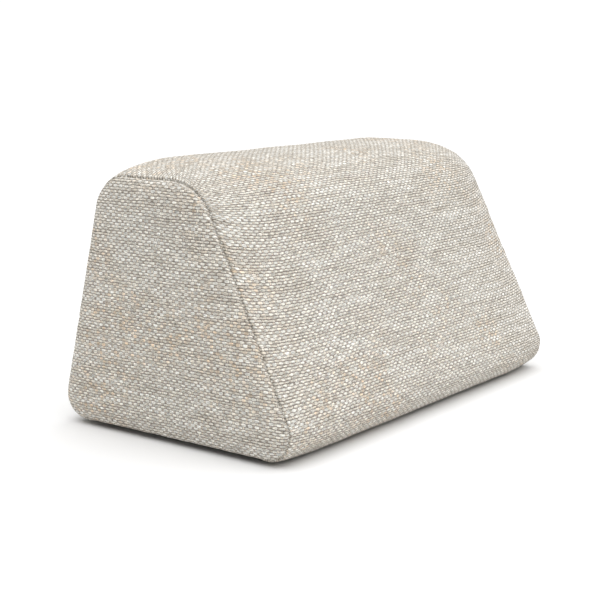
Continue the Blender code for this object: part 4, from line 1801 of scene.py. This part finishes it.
@dataclass(frozen=True)
class Stuffing:
    """Fills the cover: a closed cloth shell is blown up a little from inside, by simulation."""

    form: CushionForm
    cell: float = 0.0080
    pressure: float = 4.0
    frames: int = 20
    most: float = 0.0011
    least: float = -0.0005

    def swell(self) -> Swell:
        """Returns:
            The swell of the wrap and of both ends.
        """
        form = self.form
        track = form.track(LOOP_STRETCHES, self.cell)
        steps = round(form.seam_length / self.cell)
        lengthwise = form.half_length * np.linspace(-1.0, 1.0, steps + 1)
        width = form.end_crown_width
        reach = np.concatenate(([0.0, 0.004, 0.009, 0.015], np.linspace(width, width + 0.1, 13)))
        wrap = form.wrapped(track, lengthwise, np.zeros((len(lengthwise), 1)))[:, :-1]
        plain = np.zeros((len(reach), 1))
        ends = {side: form.capped(track, side, reach, plain)[:, :-1] for side in Side}
        pushed = self.blown_up(wrap, ends, track)
        rows, columns = wrap.shape[:2]
        out = {}
        first = rows * columns
        for side in Side:
            last = first + (len(reach) - 2) * columns
            tip = np.full((1, columns), pushed[last])
            grid = pushed[first:last].reshape(-1, columns)
            out[side] = closed(np.concatenate((np.zeros((1, columns)), grid, tip)))
            first = last + 1
        skin = closed(pushed[: rows * columns].reshape(rows, columns))
        return Swell(track.from_start, lengthwise, reach, skin, out)

    def blown_up(
        self, wrap: np.ndarray, ends: dict[Side, np.ndarray], track: Track
    ) -> np.ndarray:
        """Simulates the cloth shell.

        Args:
            wrap: The points of the wrapped panels, by row and column.
            ends: The points of each end, by row and column.
            track: The columns.

        Returns:
            How far each point has moved out: the wrap's, then those of each end.
        """
        columns = wrap.shape[1]
        points = [wrap.reshape(-1, 3)]
        index = np.arange(len(points[0])).reshape(-1, columns)
        faces = quads(closed(index), False)
        for side, seam in ((Side.LEFT, index[0]), (Side.RIGHT, index[-1])):
            first = sum(len(part) for part in points)
            inner = ends[side][1:-1].reshape(-1, 3)
            points += [inner, ends[side][-1, :1]]
            rows = np.arange(first, first + len(inner)).reshape(-1, columns)
            tip = np.full((1, columns), first + len(inner))
            grid = np.concatenate((seam[None], rows, tip))
            faces += quads(closed(grid), side is Side.LEFT)
        rest = np.concatenate(points)
        mesh = bare_mesh("stuffing_shell", rest.tolist(), faces=faces)
        normals = vectors(mesh, "normal")
        shell = link("stuffing_shell", mesh)
        held = shell.vertex_groups.new(name=CLOTH_SETTINGS["vertex_group_mass"])
        underside = len(track.from_start) - len(track.places[-1][1]) - 1
        sewn = [*index[0], *index[-1], *index[:, underside:].ravel(), *index[:, 0]]
        held.add(sorted({int(number) for number in sewn}), 1.0, "REPLACE")
        push = ((self.simulated(shell) - rest) * normals).sum(axis=1)
        scale = self.most / max(float(np.percentile(push, 99.0)), 1e-6)
        LOG.info("stuffing pushed the cover out by %.1f mm before scaling", push.max() * 1000)
        return np.clip(push * scale, self.least, self.most)

    def simulated(self, shell: Object) -> np.ndarray:
        """Runs the simulation on a shell, removes it, and gives its points at the end.

        Args:
            shell: The closed shell, with the points to hold in a group.

        Returns:
            The points after the last frame.
        """
        cloth = modify(shell, "CLOTH")
        for name, value in CLOTH_SETTINGS.items():
            setattr(cloth.settings, name, value)
        cloth.settings.uniform_pressure_force = self.pressure
        cloth.settings.effector_weights.gravity = 0.0
        cloth.collision_settings.use_collision = False
        scene = bpy.context.scene
        for number in range(1, self.frames + 1):
            scene.frame_set(number)
        graph = bpy.context.evaluated_depsgraph_get()
        moved = vectors(shell.evaluated_get(graph).data, "co").astype(float)
        bpy.data.objects.remove(shell, do_unlink=True)
        scene.frame_set(1)
        return moved


@dataclass(frozen=True)
class Cover:
    """The woven cover: the wrapped panel, the strip under the zip, and the two ends."""

    form: CushionForm
    cloth: Material
    fill: float = 0.85
    strip_spacing: float = 0.0025
    strip_cut: float = 0.9

    def build(self, swell: Swell) -> None:
        """Makes the four panels.

        Args:
            swell: How far the stuffing pushes the cover out.
        """
        panels = Panels(self.form, Relief(self.form))
        relief, lengthwise = panels.relief, panels.rows()
        distance = self.form.half_length - np.abs(lengthwise)
        main = self.form.track(WRAP_STRETCHES, panels.spacing, panels.beside_hem)
        strip = self.form.track(STRIP_STRETCHES, self.strip_spacing, panels.beside_hem)
        for name, node, track, off_zip, off_seam, start, cut in (
            ("cover_wrap", "cover_main_panel", main, main.to_end, main.from_start, 0.0, 0.0),
            (
                "cover_zip_strip", "cover_rear_strip", strip, strip.from_start, strip.to_end,
                main.from_start[-1], self.strip_cut,
            ),
        ):
            hem = relief.of_zip_edge(off_zip[None, :], distance)
            edge = hem + relief.of_sewn_edge(off_seam[None, :])
            out = swell.of_wrap(track, lengthwise, start)
            self.finish(panels.wrap(name, track, edge, out, cut), node)
        loop = self.form.track(LOOP_STRETCHES, panels.spacing)
        for side, name, node, seed in (
            (Side.LEFT, "cover_end_left", "cover_left_end_panel", 31),
            (Side.RIGHT, "cover_end_right", "cover_right_end_panel", 41),
        ):
            out = swell.of_end(loop, panels.end_rows(), side)
            self.finish(panels.end(name, side, loop, seed, out), node)

    def finish(self, panel: Object, node: str) -> None:
        """Dresses a panel and hands it to the frame.

        Args:
            panel: The panel.
            node: The node that it stands for.
        """
        dress(panel, self.cloth)
        report(panel, "cushion", "woven_cover", node)


@dataclass(frozen=True)
class Base:
    """The underside: grip cloth with rows of rubber dots."""

    form: CushionForm
    cloth: Material
    rubber: Material
    fill: float = 0.8
    spacing: float = 0.004
    thinner: float = 0.0004
    recess: float = 0.0005
    end_furrow: float = 0.0012
    end_furrow_reach: float = 0.0015
    dot_pitch: float = 0.0092
    dot_radius: float = 0.0019
    dot_margin: float = 0.014
    row_pitch: float = 0.87

    def build(self) -> None:
        """Makes the cloth and its dots."""
        panels = Panels(self.form, Relief(self.form))
        lengthwise = panels.rows()
        track = self.form.track(BASE_STRETCHES, self.spacing, panels.beside_seam)
        edges = (panels.relief.of_sewn_edge(off) for off in (track.from_start, track.to_end))
        depth = np.full((len(lengthwise), len(track.from_start)), self.recess) + sum(edges)
        distance = self.form.half_length - np.abs(lengthwise)
        furrow = self.end_furrow * gathered(distance, self.end_furrow_reach)
        points = self.form.wrapped(track, lengthwise, depth + furrow[:, None])
        yarns = plotted(run_length(points), track.from_start)
        made = link("base_cloth", grid_mesh("base_cloth", points, yarns))
        modify(made, "SOLIDIFY", thickness=self.form.cloth - self.thinner, offset=-1.0)
        dress(made, self.cloth)
        report(made, "cushion", "base_cloth", "base_panel")
        self.dots()

    def dots(self) -> None:
        """Makes the rubber dots, in staggered rows on the cloth."""
        half = self.form.half_length - self.dot_margin - 0.004
        front, back = self.form.middle.base_seams
        span = back - front - 2 * self.dot_margin
        rows = round(span / (self.dot_pitch * self.row_pitch))
        seeds = []
        for number in range(rows + 1):
            share = (self.dot_margin + span * number / rows) / (back - front)
            shift = self.dot_pitch / 2 if number % 2 else 0.0
            lengthwise = np.arange(-half + shift, half, self.dot_pitch) + 1e-5
            depth = np.full((len(lengthwise), 1), self.recess)
            line = Track.line(Stretch.UNDERSIDE, share)
            seeds.append(self.form.wrapped(line, lengthwise, depth)[:, 0])
        sizes = {"Radius": self.dot_radius, "Height": self.recess, "Seed": 5}
        sizes["Material"] = self.rubber
        mesh = bare_mesh("grip_dots", np.concatenate(seeds).tolist())
        report(grown("base_grip_dots", mesh, dot_tree(), sizes), "cushion", "base_cloth")


@dataclass(frozen=True)
class Stitching:
    """The threads: topstitching beside the zip, bar tacks at its ends, and the end seams."""

    form: CushionForm
    thread: Material
    from_edge: float = 0.0030
    pitch: float = 0.0036
    stitch: float = 0.0031
    radius: float = 0.00032
    tack_pitch: float = 0.00045
    tack_stitch: float = 0.0007
    tack_reach: float = 0.0085
    tack_width: float = 0.0009
    tack_turns: int = 40
    seam_pitch: float = 0.0030
    seam_stitch: float = 0.0027
    seam_radius: float = 0.00026
    seam_depth: float = 0.0023

    def build(self) -> None:
        """Sews every row."""
        tree = stitch_tree()
        for name, runs, pitch, stitch, radius, seed in (
            ("topstitching", self.zip_rows(), self.pitch, self.stitch, self.radius, 3),
            ("bar_tacks", self.tacks(), self.tack_pitch, self.tack_stitch, self.radius, 4),
            (
                "seam_threads", self.seams(), self.seam_pitch, self.seam_stitch,
                self.seam_radius, 6,
            ),
        ):
            sizes = {"Pitch": pitch, "Stitch": stitch, "Radius": radius, "Seed": seed}
            sizes["Material"] = self.thread
            report(grown(name, self.paths(runs), tree, sizes), "cushion", "woven_cover")

    def paths(self, runs: Sequence[np.ndarray]) -> Mesh:
        """Makes a mesh of bare edges from runs of points.

        Args:
            runs: The points of each run, in order.

        Returns:
            The mesh.
        """
        edges, count = [], 0
        for run in runs:
            edges += [(count + step, count + step + 1) for step in range(len(run) - 1)]
            count += len(run)
        return bare_mesh("paths", np.concatenate(runs).tolist(), edges)

    def beside_zip(self, off_middle: float, lengthwise: np.ndarray, depth: float) -> np.ndarray:
        """Finds points in the rear foot's rounding.

        Args:
            off_middle: How far above the zip's middle line they lie.
            lengthwise: Where they lie along the cushion.
            depth: How far inside the form they lie.

        Returns:
            The points.
        """
        form = self.form
        _, radius, first, _ = form.middle.rounding(3)
        angle = form.zip_angle + off_middle / radius
        line = Track.line(Stretch.ABOVE_ZIP, (first - angle) / (first - form.zip_angle))
        shut = replace(form, zip_half_opening=0.0, clearance=0.0)
        return shut.wrapped(line, lengthwise, np.full((len(lengthwise), 1), depth))[:, 0]

    def zip_rows(self) -> list[np.ndarray]:
        """Lays out the rows of topstitching on both sides of the zip.

        Returns:
            The points of the row above the zip, then of the one below it.
        """
        reach = self.form.half_length - self.form.zip_end_distance - self.form.zip_end_turn
        lengthwise = np.linspace(-reach, reach, 120)
        off = self.form.zip_half_opening + self.from_edge
        return [self.beside_zip(way * off, lengthwise, 0.0) for way in (1.0, -1.0)]

    def tacks(self) -> list[np.ndarray]:
        """Lays out a short dense zigzag across each end of the zip's opening.

        Returns:
            The points of each tack.
        """
        reach = self.form.half_length - self.form.zip_end_distance - 0.5 * self.form.zip_end_turn
        offs = np.linspace(-self.tack_reach, self.tack_reach, self.tack_turns)
        sways = self.tack_width * np.where(np.arange(self.tack_turns) % 2, 1.0, -1.0)
        return [
            np.array([
                self.beside_zip(off, np.array([side.value * reach + sway]), -0.0001)[0]
                for off, sway in zip(offs, sways)
            ])
            for side in Side
        ]

    def seams(self) -> list[np.ndarray]:
        """Lays out the threads deep in both end seams.

        Returns:
            The points of each seam's thread.
        """
        form = self.form
        loop = form.track(LOOP_STRETCHES, 0.004)
        depth = np.full((1, len(loop.from_start)), self.seam_depth)
        runs = []
        for side in Side:
            run = form.wrapped(loop, np.array([side.value * form.half_length]), depth)[0]
            run[:, 0] += side.value * self.seam_depth
            runs.append(run)
        return runs


@dataclass(frozen=True)
class ZipFastener:
    """The zip: two tapes, two wound coils, three stops, and a slider with its pull."""

    form: CushionForm
    coil_outer: float = 0.0032
    coil_inner: float = 0.0001
    coil_low: float = -0.0016
    coil_high: float = 0.00045
    wire: float = 0.00034
    pitch: float = 0.0015
    half_length: float = 0.164
    edge: float = 0.00013
    bevel_angle: float = math.radians(28.0)
    sharp_angle: float = math.radians(40.0)

    def build(self, shop: Workshop) -> None:
        """Makes every piece of the zip.

        Args:
            shop: The shared node groups.
        """
        self.coils(NYLON.build())
        metal = GUNMETAL.build(shop)
        for node, body in (
            ("zip_top_stop_upper", "cushion"),
            ("zip_top_stop_lower", "cushion"),
            ("zip_bottom_stop", "cushion"),
            ("zip_slider", "zip_slider"),
            ("zip_pull", "zip_pull"),
        ):
            self.cast(node, body, metal)
        tape = TAPE_CLOTH.build(shop)
        for node in ("zip_tape_upper", "zip_tape_lower"):
            dress(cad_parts[node], tape)
        dress(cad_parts["care_label"], LABEL_SATIN.build(shop))

    def coils(self, nylon: Material) -> None:
        """Winds the two coils, half a turn apart.

        Args:
            nylon: Their material.
        """
        tree = coil_tree()
        length = 2 * self.half_length - self.pitch - 2 * self.wire
        sizes = {
            "Turns": length / self.pitch,
            "Length": length,
            "Half Width": (self.coil_outer - self.coil_inner) / 2 - self.wire,
            "Half Height": (self.coil_high - self.coil_low) / 2 - self.wire,
            "Wire": self.wire,
            "Material": nylon,
        }
        across = (self.coil_outer + self.coil_inner) / 2
        out = (self.coil_high + self.coil_low) / 2
        for sign, name, node in (
            (-1.0, "zip_coil_above", "zip_coil_upper"),
            (1.0, "zip_coil_below", "zip_coil_lower"),
        ):
            made = grown(name, bare_mesh("seed", [(0.0, 0.0, 0.0)]), tree, sizes)
            shift = Matrix.Translation((sign * self.pitch / 4, sign * across, out))
            made.data.transform(self.form.zip_matrix() @ shift)
            report(made, "cushion", "zip_coil", node)

    def cast(self, node: str, body: str, metal: Material) -> None:
        """Makes a metal part of a solid, with its edges broken.

        Args:
            node: The solid.
            body: The body that the part rides on.
            metal: Its material.
        """
        made = merged_copy(node)
        modify(
            made, "BEVEL", width=self.edge, segments=2, limit_method="ANGLE",
            angle_limit=self.bevel_angle,
        )
        name = node + "_part"
        made = link(name, frozen_mesh(made, name))
        made.data.shade_smooth()
        made.data.set_sharp_from_angle(angle=self.sharp_angle)
        dress(made, metal)
        report(made, body, "zip_metal", node)


@dataclass(frozen=True)
class SoftStock:
    """A soft material of the filling, and how a piece of it is cut."""

    slot: str
    voxel: float
    rough: float
    fill: float
    lumps: Ripple = Ripple(51, 0.012, 0.05)


WADDING = SoftStock("wadding", 0.0045, 0.00035, 0.5)
FIRM_SLAB = SoftStock("firm_foam", 0.0055, 0.00012, 1.0)
SOFT_SLAB = SoftStock("soft_foam", 0.0055, 0.00012, 1.0)


class Filling:
    """What fills the cover: wadding round a core of two glued slabs of foam."""

    def build(self) -> None:
        """Makes the wadding and the foam."""
        fibre = FIBREFILL.build()
        for node in ("wadding_main", "wadding_base", "wadding_left_end", "wadding_right_end"):
            self.soften(node, WADDING, fibre)
        self.soften("foam_core_lower", FIRM_SLAB, FIRM_FOAM.build())
        self.soften("foam_core_upper", SOFT_SLAB, SOFT_FOAM.build())

    def soften(self, node: str, stock: SoftStock, finish: Material) -> None:
        """Makes a soft piece from its solid, remeshed finely, rounded and roughened.

        Args:
            node: The solid.
            stock: What it is cut from.
            finish: Its material.
        """
        made = merged_copy(node)
        modify(made, "REMESH", mode="VOXEL", voxel_size=stock.voxel)
        modify(made, "SMOOTH", factor=0.5, iterations=2)
        name = node + "_soft"
        mesh = frozen_mesh(made, name)
        places, normals = vectors(mesh, "co"), vectors(mesh, "normal")
        first, second = places[:, 0] + places[:, 2], places[:, 1] - places[:, 2]
        inwards = -stock.rough * (1.0 + stock.lumps.at(first, second)[:, None] * 0.5)
        mesh.vertices.foreach_set("co", (places + normals * inwards).astype(np.float32).ravel())
        mesh.update()
        mesh.shade_smooth()
        made = link(name, mesh)
        dress(made, finish)
        report(made, "cushion", stock.slot, node)


# ---------------------------------------------------------------------------------------------
# The studio
# ---------------------------------------------------------------------------------------------


@dataclass(frozen=True)
class Studio:
    """A pale floor, soft light from above and the camera."""

    target: tuple[float, float, float] = (-0.0307, 0.0042, 0.1006)
    back: tuple[float, float, float] = (-0.7859, -0.5886, 0.1898)
    distance: float = 1.352
    lens: float = 80.9
    key: float = 3.45
    fill: float = 0.15
    ambient: float = 0.28
    backdrop: float = 1.05
    floor_reach: float = 6.0

    def build(self) -> None:
        """Sets up the floor, the lights and the camera."""
        self.floor()
        self.sun("key", self.key, (6.0, 0.5, 0.0), 96.0)
        self.sun("fill", self.fill, (62.0, 0.0, 10.0), 60.0)
        self.world()
        self.camera()
        bpy.context.scene.view_settings.view_transform = "Standard"
        bpy.context.scene.view_settings.look = "None"

    def floor(self) -> None:
        """Makes the floor."""
        half = self.floor_reach
        corners = [(-half, -half, 0.0), (half, -half, 0.0), (half, half, 0.0), (-half, half, 0.0)]
        made = link("floor", bare_mesh("floor", corners, faces=[(0, 1, 2, 3)]))
        dress(made, STUDIO_FLOOR.build())

    def sun(self, name: str, strength: float, turn: Sequence[float], spread_deg: float) -> None:
        """Adds a soft distant light.

        Args:
            name: The light's name.
            strength: Its strength.
            turn: Its turn from straight down, in degrees.
            spread_deg: How wide it looks, in degrees.
        """
        lamp = bpy.data.lights.new(name, "SUN")
        lamp.energy = strength
        lamp.angle = math.radians(spread_deg)
        link(name, lamp).rotation_euler = [math.radians(angle) for angle in turn]

    def world(self) -> None:
        """Sets up the surrounding light, against a white backdrop."""
        world = bpy.data.worlds.new("studio")
        world.use_nodes = True
        graph = Graph(world.node_tree)
        shown = graph.add("ShaderNodeLightPath").outputs["Is Camera Ray"]
        extra = graph.times(shown, self.backdrop - self.ambient)
        background = world.node_tree.nodes["Background"]
        background.inputs["Color"].default_value = shade(1.0, 1.0, 1.0)
        graph.put(background.inputs["Strength"], graph.plus(self.ambient, extra))
        bpy.context.scene.world = world

    def camera(self) -> None:
        """Adds the camera."""
        lens = bpy.data.cameras.new("camera")
        lens.lens = self.lens
        lens.sensor_width = 36.0
        lens.clip_end = 50.0
        made = link("camera", lens)
        back = Vector(self.back).normalized()
        made.location = Vector(self.target) + back * self.distance
        made.rotation_euler = back.to_track_quat("Z", "Y").to_euler()
        bpy.context.scene.camera = made


def write_size() -> None:
    """Brings the scene's view layer up to date."""
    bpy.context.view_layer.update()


def main() -> None:
    """Builds the cushion's looks and the studio."""
    logging.basicConfig(level=logging.INFO, format="%(name)s: %(message)s")
    form = CushionForm()
    shop = Workshop()
    cloth = UPHOLSTERY.build(shop)
    Studio().build()
    Cover(form, cloth).build(Stuffing(form).swell())
    Base(form, GRIP_CLOTH.build(shop), GRIP_DOTS.build()).build()
    Stitching(form, THREAD.build()).build()
    ZipFastener(form).build(shop)
    Filling().build()
    write_size()


if __name__ == "__main__":
    main()
